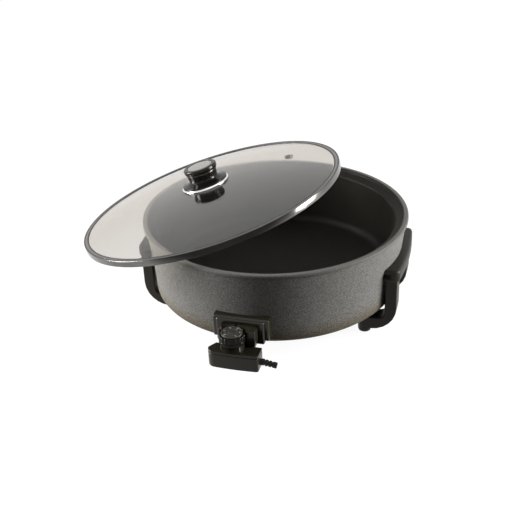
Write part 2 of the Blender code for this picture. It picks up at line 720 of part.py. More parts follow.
def make_contact_pins(tail_y):
    """Two round pins that stand out in the socket, and the tube that guides the probe."""
    rear = tail_y - ELEMENT_TUBE_RADIUS - SEAT_GAP
    for name, side in (("contact_pin_left", -1.0), ("contact_pin_right", 1.0)):
        pin = rod(name, PIN_RADIUS, (side * CONTACT_SPREAD, rear, CONTACT_HEIGHT),
                  (side * CONTACT_SPREAD, rear - PIN_REACH - INSULATOR_THICKNESS, CONTACT_HEIGHT), BRASS)
        round_edges(pin, PIN_RADIUS / 3, 1)
    inner = -(bowl_outer_radius(CONTACT_HEIGHT) + SEAT_GAP)
    outer = -(SHELL_LOW_RADIUS + INSULATOR_FROM_SHELL - SEAT_GAP)
    sleeve = rod("probe_sleeve", PROBE_SLEEVE_RADIUS, (0.0, inner, CONTACT_HEIGHT),
                 (0.0, outer, CONTACT_HEIGHT), STEEL)
    cut(sleeve, rod("probe_sleeve_bore", PROBE_RADIUS + SLIP_GAP,
                    (0.0, inner - PROBE_SLEEVE_FLOOR, CONTACT_HEIGHT),
                    (0.0, outer - OVERRUN, CONTACT_HEIGHT)))


def make_socket(screw_holes, shell_space):
    """Stepped moulded frame round the socket's mouth, and the ceramic plate behind it."""
    depth = SHELL_LOW_RADIUS - SHELL_CORNER
    frame = box("socket_frame", (-FRAME_HALF_WIDTH, FRAME_FRONT, FRAME_BOTTOM),
                (FRAME_HALF_WIDTH, -depth, FRAME_TOP), PHENOLIC, None, FRAME_CORNER, 2)
    collar = box("socket_collar", (-COLLAR_HALF_WIDTH, COLLAR_FRONT, COLLAR_BOTTOM),
                 (COLLAR_HALF_WIDTH, -depth, COLLAR_TOP), None, None, FRAME_CORNER, 2)
    combine(frame, collar, "UNION")
    mouth = box("socket_mouth",
                (-MOUTH_HALF_WIDTH, COLLAR_FRONT - OVERRUN, CONTACT_HEIGHT - MOUTH_HALF_HEIGHT),
                (MOUTH_HALF_WIDTH, -depth + OVERRUN, CONTACT_HEIGHT + MOUTH_HALF_HEIGHT))
    cut(frame, mouth)
    cut(frame, shell_space)
    cut(frame, screw_holes)
    rear = -(SHELL_LOW_RADIUS + INSULATOR_FROM_SHELL)
    plate = box("socket_insulator",
                (-MOUTH_HALF_WIDTH + SEAT_GAP, rear - INSULATOR_THICKNESS,
                 CONTACT_HEIGHT - MOUTH_HALF_HEIGHT + SEAT_GAP),
                (MOUTH_HALF_WIDTH - SEAT_GAP, rear, CONTACT_HEIGHT + MOUTH_HALF_HEIGHT - SEAT_GAP), CERAMIC)
    start = rear - INSULATOR_THICKNESS - OVERRUN
    end = rear + OVERRUN
    shapes = [rod_shape(PIN_RADIUS + SEAT_GAP, (side * CONTACT_SPREAD, start, CONTACT_HEIGHT),
                        (side * CONTACT_SPREAD, end, CONTACT_HEIGHT)) for side in (-1.0, 1.0)]
    shapes.append(rod_shape(PROBE_RADIUS + 2 * SLIP_GAP, (0.0, start, CONTACT_HEIGHT),
                            (0.0, end, CONTACT_HEIGHT)))
    cut(plate, add_object("insulator_holes", mesh_from("insulator_holes", joined(shapes))))


def make_shell_screws():
    """Screws driven outwards from inside the shell into the socket frame and the handles."""
    names = ["socket_screw_1", "socket_screw_2", "handle_screw_1", "handle_screw_2", "handle_screw_3",
             "handle_screw_4"]
    places = []
    for angle, height in shell_screw_places():
        seat = shell_wall_radius(height) - SHELL_WALL - 2 * SEAT_GAP
        places.append(aimed(radial_point(seat, angle, height), radial_point(1.0, angle, 0.0)))
    length = SHELL_WALL + SHELL_SCREW_LENGTH
    screws(names, places, SCREW_SHANK_RADIUS, length, SCREW_HEAD_RADIUS, SCREW_HEAD_HEIGHT, ZINC)


def ear_outline():
    """Plan of the handle's ear: a bowed outer edge, round corners and ends into the wall."""
    inner = SHELL_LOW_RADIUS - SHELL_CORNER - EAR_CORNER
    straight = EAR_HALF_LENGTH - EAR_CORNER
    corner_x = EAR_REACH - EAR_BOW - EAR_CORNER
    points = [(inner, -EAR_HALF_LENGTH)]
    points += arc(corner_x, -straight, EAR_CORNER, -90.0, -6.0, 4)
    count = 6
    for index in range(1, count):
        share = 2.0 * index / count - 1.0
        points.append((EAR_REACH - EAR_BOW * share ** 2, straight * share))
    points += arc(corner_x, straight, EAR_CORNER, 6.0, 90.0, 4)
    points.append((inner, EAR_HALF_LENGTH))
    return points


def leg_outline():
    """Side view of one leg: down from the ear, round a wide bend and in under the pot."""
    top = EAR_BOTTOM + EAR_HEIGHT / 2
    inner = LEG_OUTER - LEG_WIDTH
    points = [(inner, top)]
    points += arc(inner - LEG_INNER_BEND, FOOT_BAR_TOP + LEG_INNER_BEND, LEG_INNER_BEND, 0.0, -90.0, 3)
    points.append((POST_X, FOOT_BAR_TOP))
    points.append((POST_X, FOOT_BAR_BOTTOM))
    points += arc(LEG_OUTER - LEG_OUTER_BEND, FOOT_BAR_BOTTOM + LEG_OUTER_BEND, LEG_OUTER_BEND,
                  -90.0, 0.0, 6)
    points.append((LEG_OUTER, top))
    return points


def grip_outline():
    """Plan of the finger recess under the ear."""
    inner = SHELL_LOW_RADIUS - SHELL_CORNER
    outer = EAR_REACH - EAR_SKIRT
    half = GRIP_HALF_LENGTH
    points = [(inner, -half)]
    points += arc(outer - GRIP_CORNER, -half + GRIP_CORNER, GRIP_CORNER, -90.0, 0.0, 3)
    points += arc(outer - GRIP_CORNER, half - GRIP_CORNER, GRIP_CORNER, 0.0, 90.0, 3)
    points.append((inner, half))
    return points


def mirrored(made, side):
    """Turn a piece over to the -X side when side is negative."""
    if side < 0.0:
        shape = bmesh.new()
        shape.from_mesh(made.data)
        bmesh.ops.scale(shape, vec=Vector((-1.0, 1.0, 1.0)), verts=shape.verts[:])
        bmesh.ops.reverse_faces(shape, faces=shape.faces[:])
        shape.to_mesh(made.data)
        shape.free()
    return made


def make_handle(name, side, screw_holes, wall_space, leg_space):
    """Moulded handle: an ear with a finger recess, two legs that curve under, two foot posts."""
    ear_mesh = mesh_from(name, plate_shape(ear_outline(), EAR_BOTTOM, EAR_BOTTOM + EAR_HEIGHT))
    handle = round_edges(mirrored(add_object(name, ear_mesh, PHENOLIC), side), EAR_EDGE, 2)
    grip_mesh = mesh_from(name + "_grip", plate_shape(grip_outline(), EAR_BOTTOM - OVERRUN,
                                                      EAR_BOTTOM + EAR_HEIGHT - EAR_SKIN))
    cut(handle, mirrored(add_object(name + "_grip", grip_mesh), side))
    cut(handle, wall_space)
    for end in (-1.0, 1.0):
        front = end * LEG_FRONT
        rear = end * (LEG_FRONT - LEG_DEPTH)
        label = name + ("_rear_leg" if end > 0.0 else "_front_leg")
        leg_shape = plate_shape(leg_outline(), min(front, rear), max(front, rear), "Y")
        leg_mesh = mesh_from(label, leg_shape)
        leg = round_edges(mirrored(add_object(label, leg_mesh), side), LEG_EDGE, 1)
        cut(leg, leg_space)
        combine(handle, leg, "UNION")
        x = side * POST_X
        y = end * POST_Y
        combine(handle, rod(label + "_post", POST_RADIUS, (x, y, POST_BOTTOM), (x, y, -SEAT_GAP)), "UNION")
        below = POST_BOTTOM - OVERRUN
        cut(handle, rod(label + "_bore", FOOT_SCREW_RADIUS + SEAT_GAP, (x, y, below), (x, y, OVERRUN)))
        cut(handle, rod(label + "_sink", COUNTERBORE_RADIUS, (x, y, below),
                        (x, y, POST_BOTTOM + COUNTERBORE_DEPTH)))
    cut(handle, screw_holes)
    return handle


def make_foot_hardware():
    """Foot screws with their nuts inside the shell, and the rubber rings under the posts."""
    seat = POST_BOTTOM + COUNTERBORE_DEPTH - SEAT_GAP
    nut_low = SHELL_WALL + SEAT_GAP
    spots = [Vector((side * POST_X, end * POST_Y, 0.0)) for side, end in foot_places()]
    numbers = range(1, len(spots) + 1)
    length = nut_low + NUT_HEIGHT + SLIP_GAP - seat
    places = [upright(spot + Vector((0.0, 0.0, seat))) for spot in spots]
    screws(["foot_screw_%d" % number for number in numbers], places, FOOT_SCREW_RADIUS, length,
           FOOT_SCREW_HEAD_RADIUS, FOOT_SCREW_HEAD_HEIGHT, ZINC)

    bore = FOOT_SCREW_RADIUS + SEAT_GAP
    nut_mesh = ring_mesh("foot_nut", NUT_RADIUS, bore, NUT_HEIGHT, NUT_SIDES)
    nut = add_object("foot_nut_1", nut_mesh, ZINC)
    places = [upright(spot + Vector((0.0, 0.0, nut_low))) for spot in spots]
    copies(nut, ["foot_nut_%d" % number for number in numbers], places)

    pad_mesh = ring_mesh("foot_pad", PAD_RADIUS, PAD_BORE, PAD_THICKNESS, PAD_SIDES)
    pad = add_object("foot_pad_1", pad_mesh, RUBBER)
    places = [upright(spot + Vector((0.0, 0.0, PAD_BOTTOM))) for spot in spots]
    copies(pad, ["foot_pad_%d" % number for number in numbers], places)


def lid_rest_height():
    """Height at which the tilted dome's underside just clears the pan's rim."""
    across = Vector((math.cos(LID_TILT), 0.0, math.sin(LID_TILT)))
    axis = Vector((-math.sin(LID_TILT), 0.0, math.cos(LID_TILT)))
    rim_line = [(RIM_RADIUS - RIM_TOP_WIDTH + RIM_UNDERCUT / 2, POT_HEIGHT)]
    rim_line += arc(RIM_RADIUS - RIM_ROUND, POT_HEIGHT - RIM_ROUND, RIM_ROUND, 90.0, 0.0, 4)
    highest = -POT_HEIGHT
    for radius, height in rim_line:
        for index in range(4 * LARGE_STEPS):
            point = radial_point(radius, math.tau * index / (4 * LARGE_STEPS), height)
            point -= Vector((LID_SHIFT_X, LID_SHIFT_Y, 0.0))
            # Raise the lid until this point lies on the underside; its local place moves with it
            rise = point.z
            for _ in range(12):
                local = point - Vector((0.0, 0.0, rise))
                out = math.hypot(local.dot(across), local.y)
                if out > LID_RADIUS:
                    break
                rise -= (glass_underside(out) - local.dot(axis)) / axis.z
            if out <= DOME_RADIUS:
                highest = max(highest, rise)
    return highest + LID_LEAN_GAP


def lid_axis():
    """Empty on the lid's own axis, at the middle of the band's lower edge."""
    axis = bpy.data.objects.new("lid_axis", None)
    parts.objects.link(axis)
    axis.location = (LID_SHIFT_X, LID_SHIFT_Y, lid_rest_height())
    axis.rotation_euler = (0.0, -LID_TILT, 0.0)
    return axis


def vent_place():
    """Matrix of the steam vent, square to the dome, in the lid's axes."""
    slope = -2.0 * DOME_RISE * VENT_DISTANCE / DOME_RADIUS ** 2
    spot = Vector((VENT_DISTANCE * math.cos(VENT_ANGLE), VENT_DISTANCE * math.sin(VENT_ANGLE),
                   glass_underside(VENT_DISTANCE) + GLASS_THICKNESS / 2))
    normal = Vector((-slope * math.cos(VENT_ANGLE), -slope * math.sin(VENT_ANGLE), 1.0)).normalized()
    turn = normal.to_track_quat("Z", "Y").to_matrix().to_4x4()
    return Matrix.Translation(spot) @ turn


def make_lid_glass(axis):
    """Pressed dome with a flat flange, drilled for the knob and the vent."""
    under = []
    for index in range(DOME_POINTS + 1):
        radius = GLASS_HOLE_RADIUS + (DOME_RADIUS - GLASS_HOLE_RADIUS) * index / DOME_POINTS
        under.append((radius, glass_underside(radius)))
    under.append((GLASS_EDGE_RADIUS, GLASS_EDGE_HEIGHT))
    over = [(radius, height + GLASS_THICKNESS) for radius, height in under]
    glass = turned("lid_glass", over + under[::-1], LARGE_STEPS, GLASS, axis, True)
    drill = rod("vent_drill", VENT_TUBE_RADIUS + SEAT_GAP, (0.0, 0.0, -VENT_TUBE_RADIUS * 2),
                (0.0, 0.0, VENT_TUBE_RADIUS * 2))
    drill.parent = axis
    drill.matrix_local = vent_place()
    cut(glass, drill)


def make_lid_band(axis):
    """Rolled steel band: a skirt, a shoulder under the glass and a lip over it."""
    outer = LID_RADIUS
    inner = outer - BAND_WALL
    lip_low = GLASS_EDGE_HEIGHT + GLASS_THICKNESS + SEAT_GAP
    lip_top = lip_low + BAND_WALL
    shoulder_top = BAND_SHOULDER_HEIGHT + BAND_WALL
    profile = [
        (outer - BAND_LIP_WIDTH, lip_top),
        (outer - BAND_WALL, lip_top),
        (outer, lip_top - BAND_WALL),
        (outer, BAND_WALL / 2),
        (inner, 0.0),
        (inner, BAND_SHOULDER_HEIGHT),
        (outer - BAND_SHOULDER_WIDTH, BAND_SHOULDER_HEIGHT),
        (outer - BAND_SHOULDER_WIDTH, shoulder_top),
        (inner, shoulder_top),
        (inner, lip_low),
        (outer - BAND_LIP_WIDTH, lip_low),
    ]
    turned("lid_band", profile, LARGE_STEPS, STEEL, axis, True)


def make_steam_vent(axis):
    """Metal eyelet in the glass."""
    half = GLASS_THICKNESS / 2 + SEAT_GAP
    top = half + VENT_FLANGE_HEIGHT
    profile = [
        (VENT_BORE, top),
        (VENT_FLANGE_RADIUS - VENT_FLANGE_HEIGHT / 2, top),
        (VENT_FLANGE_RADIUS, half),
        (VENT_TUBE_RADIUS, half),
        (VENT_TUBE_RADIUS, -half),
        (VENT_FLANGE_RADIUS, -half),
        (VENT_FLANGE_RADIUS - VENT_FLANGE_HEIGHT / 2, -top),
        (VENT_BORE, -top),
    ]
    eyelet = turned("steam_vent", profile, SMALL_STEPS, STEEL, axis, True)
    eyelet.matrix_local = vent_place()


def make_knob(axis):
    """Lid knob: chrome seat ring, flared base, bright collar, cap and brushed inset."""
    glass_top = glass_underside(0.0) + GLASS_THICKNESS
    ring_low = glass_top + SEAT_GAP
    ring_top = ring_low + SEAT_RING_HEIGHT
    ring = [(SEAT_RING_BORE, ring_top), (SEAT_RING_RADIUS - SEAT_RING_HEIGHT / 3, ring_top),
            (SEAT_RING_RADIUS, ring_top - SEAT_RING_HEIGHT / 3), (SEAT_RING_RADIUS, ring_low + SEAT_GAP),
            (SEAT_RING_RADIUS - SEAT_GAP, ring_low), (SEAT_RING_BORE, ring_low)]
    turned("knob_seat_ring", ring, KNOB_STEPS, STEEL, axis, True)

    flange_low = ring_top + SEAT_GAP
    waist_low = flange_low + WAIST_FOOT_HEIGHT
    waist_top = flange_low + WAIST_HEIGHT
    bore = KNOB_SCREW_RADIUS + SEAT_GAP
    sweep = waist_low - flange_low - FLANGE_EDGE
    base = [(bore, waist_top), (WAIST_TOP_RADIUS, waist_top), (WAIST_RADIUS, waist_low)]
    count = 4
    for index in range(1, count + 1):
        angle = math.pi / 2 * index / count
        base.append((WAIST_RADIUS + (FLANGE_RADIUS - WAIST_RADIUS) * (1.0 - math.cos(angle)),
                     waist_low - sweep * math.sin(angle)))
    base += [(FLANGE_RADIUS, flange_low), (HUB_RADIUS, flange_low), (HUB_RADIUS, ring_low), (bore, ring_low)]
    turned("knob_base", base, KNOB_STEPS, PHENOLIC, axis, True)

    collar_low = waist_top + SEAT_GAP
    collar_top = collar_low + COLLAR_RING_HEIGHT
    collar = [(bore, collar_top), (COLLAR_RING_RADIUS, collar_top), (COLLAR_RING_RADIUS, collar_low),
              (bore, collar_low)]
    turned("knob_collar", collar, KNOB_STEPS, STEEL, axis, True)

    cap_low = collar_top + SEAT_GAP
    cap_top = cap_low + CAP_HEIGHT
    recess = INSET_RADIUS + SEAT_GAP
    cap = [(0.0, cap_top - INSET_DEPTH), (recess, cap_top - INSET_DEPTH), (recess, cap_top)]
    cap += arc(CAP_RADIUS - CAP_EDGE, cap_top - CAP_EDGE, CAP_EDGE, 90.0, 0.0, 2)
    cap += [(CAP_RADIUS, cap_low + CAP_EDGE / 2), (CAP_RADIUS - CAP_EDGE / 2, cap_low), (bore, cap_low),
            (bore, cap_low + CAP_HEIGHT / 2), (0.0, cap_low + CAP_HEIGHT / 2)]
    turned("knob_cap", cap, KNOB_STEPS, PHENOLIC, axis)

    inset_low = cap_top - INSET_DEPTH + SEAT_GAP
    across, crown = INSET_MIDDLE_SHARES
    inset = [(0.0, cap_top + INSET_CROWN), (INSET_RADIUS * across, cap_top + INSET_CROWN * crown),
             (INSET_RADIUS, cap_top - SEAT_GAP), (INSET_RADIUS, inset_low), (0.0, inset_low)]
    turned("knob_inset", inset, KNOB_STEPS, BRUSHED, axis)

    washer_top = glass_underside(WASHER_RADIUS) - SEAT_GAP
    washer_low = washer_top - WASHER_HEIGHT
    washer = [(bore, washer_top), (WASHER_RADIUS, washer_top), (WASHER_RADIUS, washer_low),
              (bore, washer_low)]
    turned("knob_washer", washer, SMALL_STEPS, SILICONE, axis, True)

    head_top = washer_low - SEAT_GAP
    tip = min(head_top + KNOB_SCREW_REACH + WAIST_HEIGHT / 2, cap_low + CAP_HEIGHT / 2 - SEAT_GAP)
    screw = [(0.0, tip), (KNOB_SCREW_RADIUS, tip), (KNOB_SCREW_RADIUS, head_top),
             (KNOB_SCREW_HEAD_RADIUS, head_top),
             (KNOB_SCREW_HEAD_RADIUS, head_top - KNOB_SCREW_HEAD_HEIGHT / 2),
             (KNOB_SCREW_HEAD_RADIUS * KNOB_SCREW_TOP_SHARE, head_top - KNOB_SCREW_HEAD_HEIGHT),
             (0.0, head_top - KNOB_SCREW_HEAD_HEIGHT)]
    turned("knob_screw", screw, SMALL_STEPS, ZINC, axis)


def body_outline(inset=0.0):
    """Plan of the control's body, one wall thickness or more inside its outer face."""
    right = BODY_RIGHT - inset
    rear = BODY_REAR - inset
    left_corner = BODY_LEFT_CORNER - inset
    right_corner = BODY_RIGHT_CORNER - inset / 2
    left = BODY_LEFT + BODY_LEFT_CORNER
    front = BODY_FRONT + inset
    points = [(BODY_LEFT + BODY_LEFT_SLANT + inset, rear)]
    points += arc(left, BODY_FRONT + BODY_LEFT_CORNER, left_corner, 180.0, 270.0, 5)
    count = 6
    start = left
    end = right - right_corner
    for index in range(1, count):
        share = index / count
        bow = BODY_FRONT_BOW * 4.0 * share * (1.0 - share)
        points.append((start + (end - start) * share, front - bow))
    points += arc(end, front + right_corner, right_corner, -90.0, 0.0, 3)
    points.append((right, rear))
    return points


def relief_place():
    """Matrix of the strain relief: its Z runs out of the body's right end."""
    spot = Matrix.Translation((BODY_RIGHT, RELIEF_Y, RELIEF_HEIGHT))
    return spot @ Matrix.Rotation(math.pi / 2 + RELIEF_DROP, 4, "Y")


def make_control_base():
    """Lower housing of the control: a moulded tray with a hole for the strain relief."""
    mesh = mesh_from("control_base", plate_shape(body_outline(), BODY_BOTTOM, BODY_SPLIT))
    tray = round_edges(add_object("control_base", mesh, PHENOLIC), BODY_EDGE, 2, 50.0)
    hollow = plate_shape(body_outline(BODY_WALL), BODY_BOTTOM + BODY_WALL, BODY_SPLIT + OVERRUN)
    cut(tray, add_object("control_base_hollow", mesh_from("control_base_hollow", hollow)))
    hole = rod("relief_hole", RELIEF_NECK_RADIUS + SEAT_GAP, (0.0, 0.0, -2 * BODY_WALL),
               (0.0, 0.0, BODY_WALL))
    hole.matrix_world = relief_place()
    cut(tray, hole)
    return tray


def make_control_cover():
    """Upper housing: top plate, dial collar and the neck that enters the socket."""
    low = BODY_SPLIT + SEAT_GAP
    mesh = mesh_from("control_cover", plate_shape(body_outline(), low, BODY_TOP))
    cover = round_edges(add_object("control_cover", mesh, PHENOLIC), BODY_EDGE, 2, 50.0)
    neck = box("control_neck", (-NECK_HALF_WIDTH, NECK_FRONT, CONTACT_HEIGHT - NECK_HALF_HEIGHT),
               (NECK_HALF_WIDTH, NECK_REAR, CONTACT_HEIGHT + NECK_HALF_HEIGHT), None, None, NECK_EDGE, 2)
    combine(cover, neck, "UNION")
    stem_half = NECK_HALF_WIDTH - NECK_EDGE
    stem = box("control_neck_stem", (-stem_half, NECK_FRONT + NECK_EDGE, low + BODY_EDGE),
               (stem_half, COLLAR_FRONT - SLIP_GAP, CONTACT_HEIGHT), None, None, NECK_EDGE, 2)
    combine(cover, stem, "UNION")
    scoop = rod("dial_scoop", DIAL_RADIUS + DIAL_SCOOP_GAP, (DIAL_X, DIAL_Y, BODY_TOP),
                (DIAL_X, DIAL_Y, DIAL_TOP + OVERRUN), steps=KNOB_STEPS)
    cut(cover, scoop)
    collar = rod("dial_collar", DIAL_COLLAR_RADIUS, (DIAL_X, DIAL_Y, low + BODY_EDGE),
                 (DIAL_X, DIAL_Y, DIAL_COLLAR_TOP), steps=KNOB_STEPS)
    combine(cover, collar, "UNION")
    cut(cover, rod("spindle_hole", SPINDLE_RADIUS + SLIP_GAP, (DIAL_X, DIAL_Y, low - OVERRUN),
                   (DIAL_X, DIAL_Y, DIAL_TOP)))
    mouth = NECK_REAR + OVERRUN
    shapes = [rod_shape(SLEEVE_RADIUS + SEAT_GAP, (side * CONTACT_SPREAD, mouth, CONTACT_HEIGHT),
                        (side * CONTACT_SPREAD, NECK_REAR - NECK_ENGAGEMENT, CONTACT_HEIGHT))
              for side in (-1.0, 1.0)]
    shapes.append(rod_shape(PROBE_RADIUS + SEAT_GAP, (0.0, mouth, CONTACT_HEIGHT),
                            (0.0, PROBE_REAR, CONTACT_HEIGHT)))
    cut(cover, add_object("neck_bores", mesh_from("neck_bores", joined(shapes))))


def make_contact_sleeves():
    """Two spring sleeves in the neck that slide over the pins, and the probe between them."""
    rear = NECK_REAR - SLIP_GAP
    front = NECK_REAR - NECK_ENGAGEMENT + SEAT_GAP
    for name, side in (("contact_sleeve_left", -1.0), ("contact_sleeve_right", 1.0)):
        sleeve = rod(name, SLEEVE_RADIUS, (side * CONTACT_SPREAD, rear, CONTACT_HEIGHT),
                     (side * CONTACT_SPREAD, front, CONTACT_HEIGHT), BRASS)
        cut(sleeve, rod(name + "_bore", SLEEVE_RADIUS - SLEEVE_WALL,
                        (side * CONTACT_SPREAD, rear + OVERRUN, CONTACT_HEIGHT),
                        (side * CONTACT_SPREAD, front + SLEEVE_WALL, CONTACT_HEIGHT)))
    tip = -(bowl_outer_radius(CONTACT_HEIGHT) + PROBE_SLEEVE_FLOOR + SEAT_GAP + SLIP_GAP)
    probe = rod("thermostat_probe", PROBE_RADIUS, (0.0, tip, CONTACT_HEIGHT),
                (0.0, PROBE_REAR + SEAT_GAP, CONTACT_HEIGHT), STEEL)
    round_edges(probe, PROBE_RADIUS / 3, 1)


def make_thermostat_switch():
    """Switch block on the tray's floor, under the dial's spindle."""
    low = BODY_BOTTOM + BODY_WALL + SEAT_GAP
    box("thermostat_switch", (DIAL_X - SWITCH_HALF_WIDTH, DIAL_Y - SWITCH_DEPTH, low),
        (DIAL_X + SWITCH_HALF_WIDTH, DIAL_Y + SPINDLE_RADIUS, low + SWITCH_HEIGHT), CERAMIC, None, BODY_EDGE)


def dial_outline():
    """Plan of the dial's grip: shallow flutes round a circle."""
    points = []
    for flute in range(DIAL_FLUTES):
        for part, depth_share in ((0.0, 0.0), (0.35, 0.0), (0.55, 1.0), (0.80, 1.0)):
            angle = math.tau * (flute + part) / DIAL_FLUTES
            radius = DIAL_RADIUS - DIAL_FLUTE_DEPTH * depth_share
            points.append((radius * math.cos(angle), radius * math.sin(angle)))
    return points


def make_dial():
    """Fluted dial with a raised cap, on a spindle that drops into the switch."""
    axis = bpy.data.objects.new("dial_axis", None)
    parts.objects.link(axis)
    axis.location = (DIAL_X, DIAL_Y, DIAL_BOTTOM)
    shape = plate_shape(dial_outline(), 0.0, DIAL_HEIGHT - DIAL_TOP_EDGE)
    dial = add_object("dial", mesh_from("dial", shape), NYLON, axis)
    crown = [(0.0, DIAL_HEIGHT), (DIAL_CAP_RADIUS + DIAL_TOP_EDGE / 2, DIAL_HEIGHT),
             (DIAL_RADIUS - DIAL_FLUTE_DEPTH - SEAT_GAP, DIAL_HEIGHT - DIAL_TOP_EDGE),
             (DIAL_RADIUS - DIAL_FLUTE_DEPTH - SEAT_GAP, DIAL_HEIGHT / 2), (0.0, DIAL_HEIGHT / 2)]
    top = turned("dial_crown", crown, KNOB_STEPS)
    top.parent = axis
    combine(dial, top, "UNION")
    bore = rod("dial_bore", SPINDLE_RADIUS + SEAT_GAP, (0.0, 0.0, -OVERRUN), (0.0, 0.0, DIAL_BORE_DEPTH))
    bore.parent = axis
    cut(dial, bore)
    low = DIAL_HEIGHT + SEAT_GAP
    cap = [(0.0, low + DIAL_CAP_HEIGHT), (DIAL_CAP_RADIUS - DIAL_CAP_HEIGHT / 2, low + DIAL_CAP_HEIGHT),
           (DIAL_CAP_RADIUS, low + DIAL_CAP_HEIGHT / 2), (DIAL_CAP_RADIUS, low), (0.0, low)]
    turned("dial_plate", cap, KNOB_STEPS, NYLON, axis)
    foot = BODY_BOTTOM + BODY_WALL + SEAT_GAP + SWITCH_HEIGHT + SEAT_GAP - DIAL_BOTTOM
    rod("dial_spindle", SPINDLE_RADIUS, (0.0, 0.0, foot), (0.0, 0.0, DIAL_BORE_DEPTH - SEAT_GAP), STEEL, axis)


def make_strain_relief():
    """Ribbed bend relief, gripped in the tray's end wall by a flange inside it."""
    tip = RELIEF_LENGTH
    pitch = (RELIEF_LENGTH - BODY_WALL) / RELIEF_RIBS
    profile = [(RELIEF_BORE, tip)]
    for rib in reversed(range(RELIEF_RIBS)):
        low = BODY_WALL / 2 + SEAT_GAP + pitch * rib
        high = low + pitch
        scale = 1.0 - (1.0 - RELIEF_TIP_SHARE) * (rib + 0.5) / RELIEF_RIBS
        rib_radius = RELIEF_RADIUS * scale
        valley = rib_radius - RELIEF_RIB_DEPTH
        if rib == RELIEF_RIBS - 1:
            high = tip
            profile.append((rib_radius, high))
        else:
            profile.append((valley, high))
            profile.append((valley, high - pitch * RELIEF_GROOVE_SHARES[0]))
            profile.append((rib_radius, high - pitch * RELIEF_GROOVE_SHARES[1]))
        profile.append((rib_radius, low))
    inner = -BODY_WALL * 1.5
    profile += [
        (RELIEF_NECK_RADIUS, BODY_WALL / 2 + SEAT_GAP),
        (RELIEF_NECK_RADIUS, inner),
        (RELIEF_FLANGE_RADIUS, inner),
        (RELIEF_FLANGE_RADIUS, inner - RELIEF_FLANGE_LENGTH),
        (RELIEF_BORE, inner - RELIEF_FLANGE_LENGTH),
    ]
    relief = turned("strain_relief", profile, SMALL_STEPS, RUBBER, None, True)
    relief.matrix_world = relief_place()


def make_control_screws():
    """Two screws inside the tray that close the control's housing."""
    low = BODY_BOTTOM + BODY_WALL + SEAT_GAP + SCREW_HEAD_HEIGHT
    y = BODY_FRONT + BODY_LEFT_CORNER
    ends = (BODY_LEFT + BODY_LEFT_CORNER, BODY_RIGHT - BODY_LEFT_CORNER)
    places = [upright(Vector((x, y, low))) for x in ends]
    screws(["control_screw_1", "control_screw_2"], places, SCREW_SHANK_RADIUS, BODY_SPLIT - low,
           SCREW_HEAD_RADIUS, SCREW_HEAD_HEIGHT, ZINC)


wall_holes = shell_screw_holes("wall_screw_holes")
wall_cutter = shell_space("wall_space", SEAT_GAP)
leg_cutter = shell_space("leg_space", LEG_WALL_GAP)

make_cooking_pan()
make_outer_shell(wall_holes)
make_heat_reflector()
make_body_screws()
element_tail = make_heating_element()
make_contact_pins(element_tail)
make_socket(wall_holes, wall_cutter)
make_shell_screws()
make_handle("handle_right", 1.0, wall_holes, wall_cutter, leg_cutter)
make_handle("handle_left", -1.0, wall_holes, wall_cutter, leg_cutter)
make_foot_hardware()
lid = lid_axis()
make_lid_glass(lid)
make_lid_band(lid)
make_steam_vent(lid)
make_knob(lid)
make_control_base()
make_control_cover()
make_contact_sleeves()
make_thermostat_switch()
make_dial()
make_strain_relief()
make_control_screws()
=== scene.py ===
import math

import bmesh
import bpy
from mathutils import Matrix, Vector


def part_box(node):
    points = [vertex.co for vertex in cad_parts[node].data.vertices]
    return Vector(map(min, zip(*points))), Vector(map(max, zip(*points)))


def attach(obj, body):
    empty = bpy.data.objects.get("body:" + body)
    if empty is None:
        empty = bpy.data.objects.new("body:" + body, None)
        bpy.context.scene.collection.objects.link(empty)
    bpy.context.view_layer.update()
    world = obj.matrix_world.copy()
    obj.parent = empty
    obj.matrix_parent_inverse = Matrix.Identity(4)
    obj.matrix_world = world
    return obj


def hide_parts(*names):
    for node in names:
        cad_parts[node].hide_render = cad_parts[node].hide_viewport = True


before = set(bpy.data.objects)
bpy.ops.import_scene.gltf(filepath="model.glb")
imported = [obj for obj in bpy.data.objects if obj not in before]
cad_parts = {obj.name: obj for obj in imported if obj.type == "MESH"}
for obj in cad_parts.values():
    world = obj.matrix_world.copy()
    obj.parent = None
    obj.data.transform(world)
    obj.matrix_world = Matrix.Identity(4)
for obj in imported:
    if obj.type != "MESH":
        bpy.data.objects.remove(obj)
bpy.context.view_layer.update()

# Camera, room, floor and lamps. The camera stands where the photograph was taken from, a little to
# the right of the control and well above the rim. Two soft lamps stand low at the sides, a weak one
# hangs above, and the floor and the room round it are plain, pale and even.
camera_data = bpy.data.cameras.new("camera")
camera_data.sensor_width = 36.0
camera_data.lens = 63.345
camera = bpy.data.objects.new("camera", camera_data)
camera.matrix_world = Matrix((
    (0.961754, -0.093456, 0.257478, 0.346921),
    (0.270734, 0.467146, -0.841711, -1.250957),
    (-0.041617, 0.879227, 0.474582, 0.742865),
    (0.0, 0.0, 0.0, 1.0),
))
bpy.context.scene.collection.objects.link(camera)
bpy.context.scene.camera = camera
bpy.context.scene.view_settings.view_transform = "Standard"


def soft_lamp(name, place, target, width, height, power):
    """A rectangular soft lamp that faces a point of the pot."""
    data = bpy.data.lights.new(name, "AREA")
    data.shape = "RECTANGLE"
    data.size = width
    data.size_y = height
    data.energy = power
    lamp = bpy.data.objects.new(name, data)
    lamp.location = place
    lamp.rotation_euler = (Vector(target) - Vector(place)).to_track_quat("-Z", "Y").to_euler()
    bpy.context.scene.collection.objects.link(lamp)


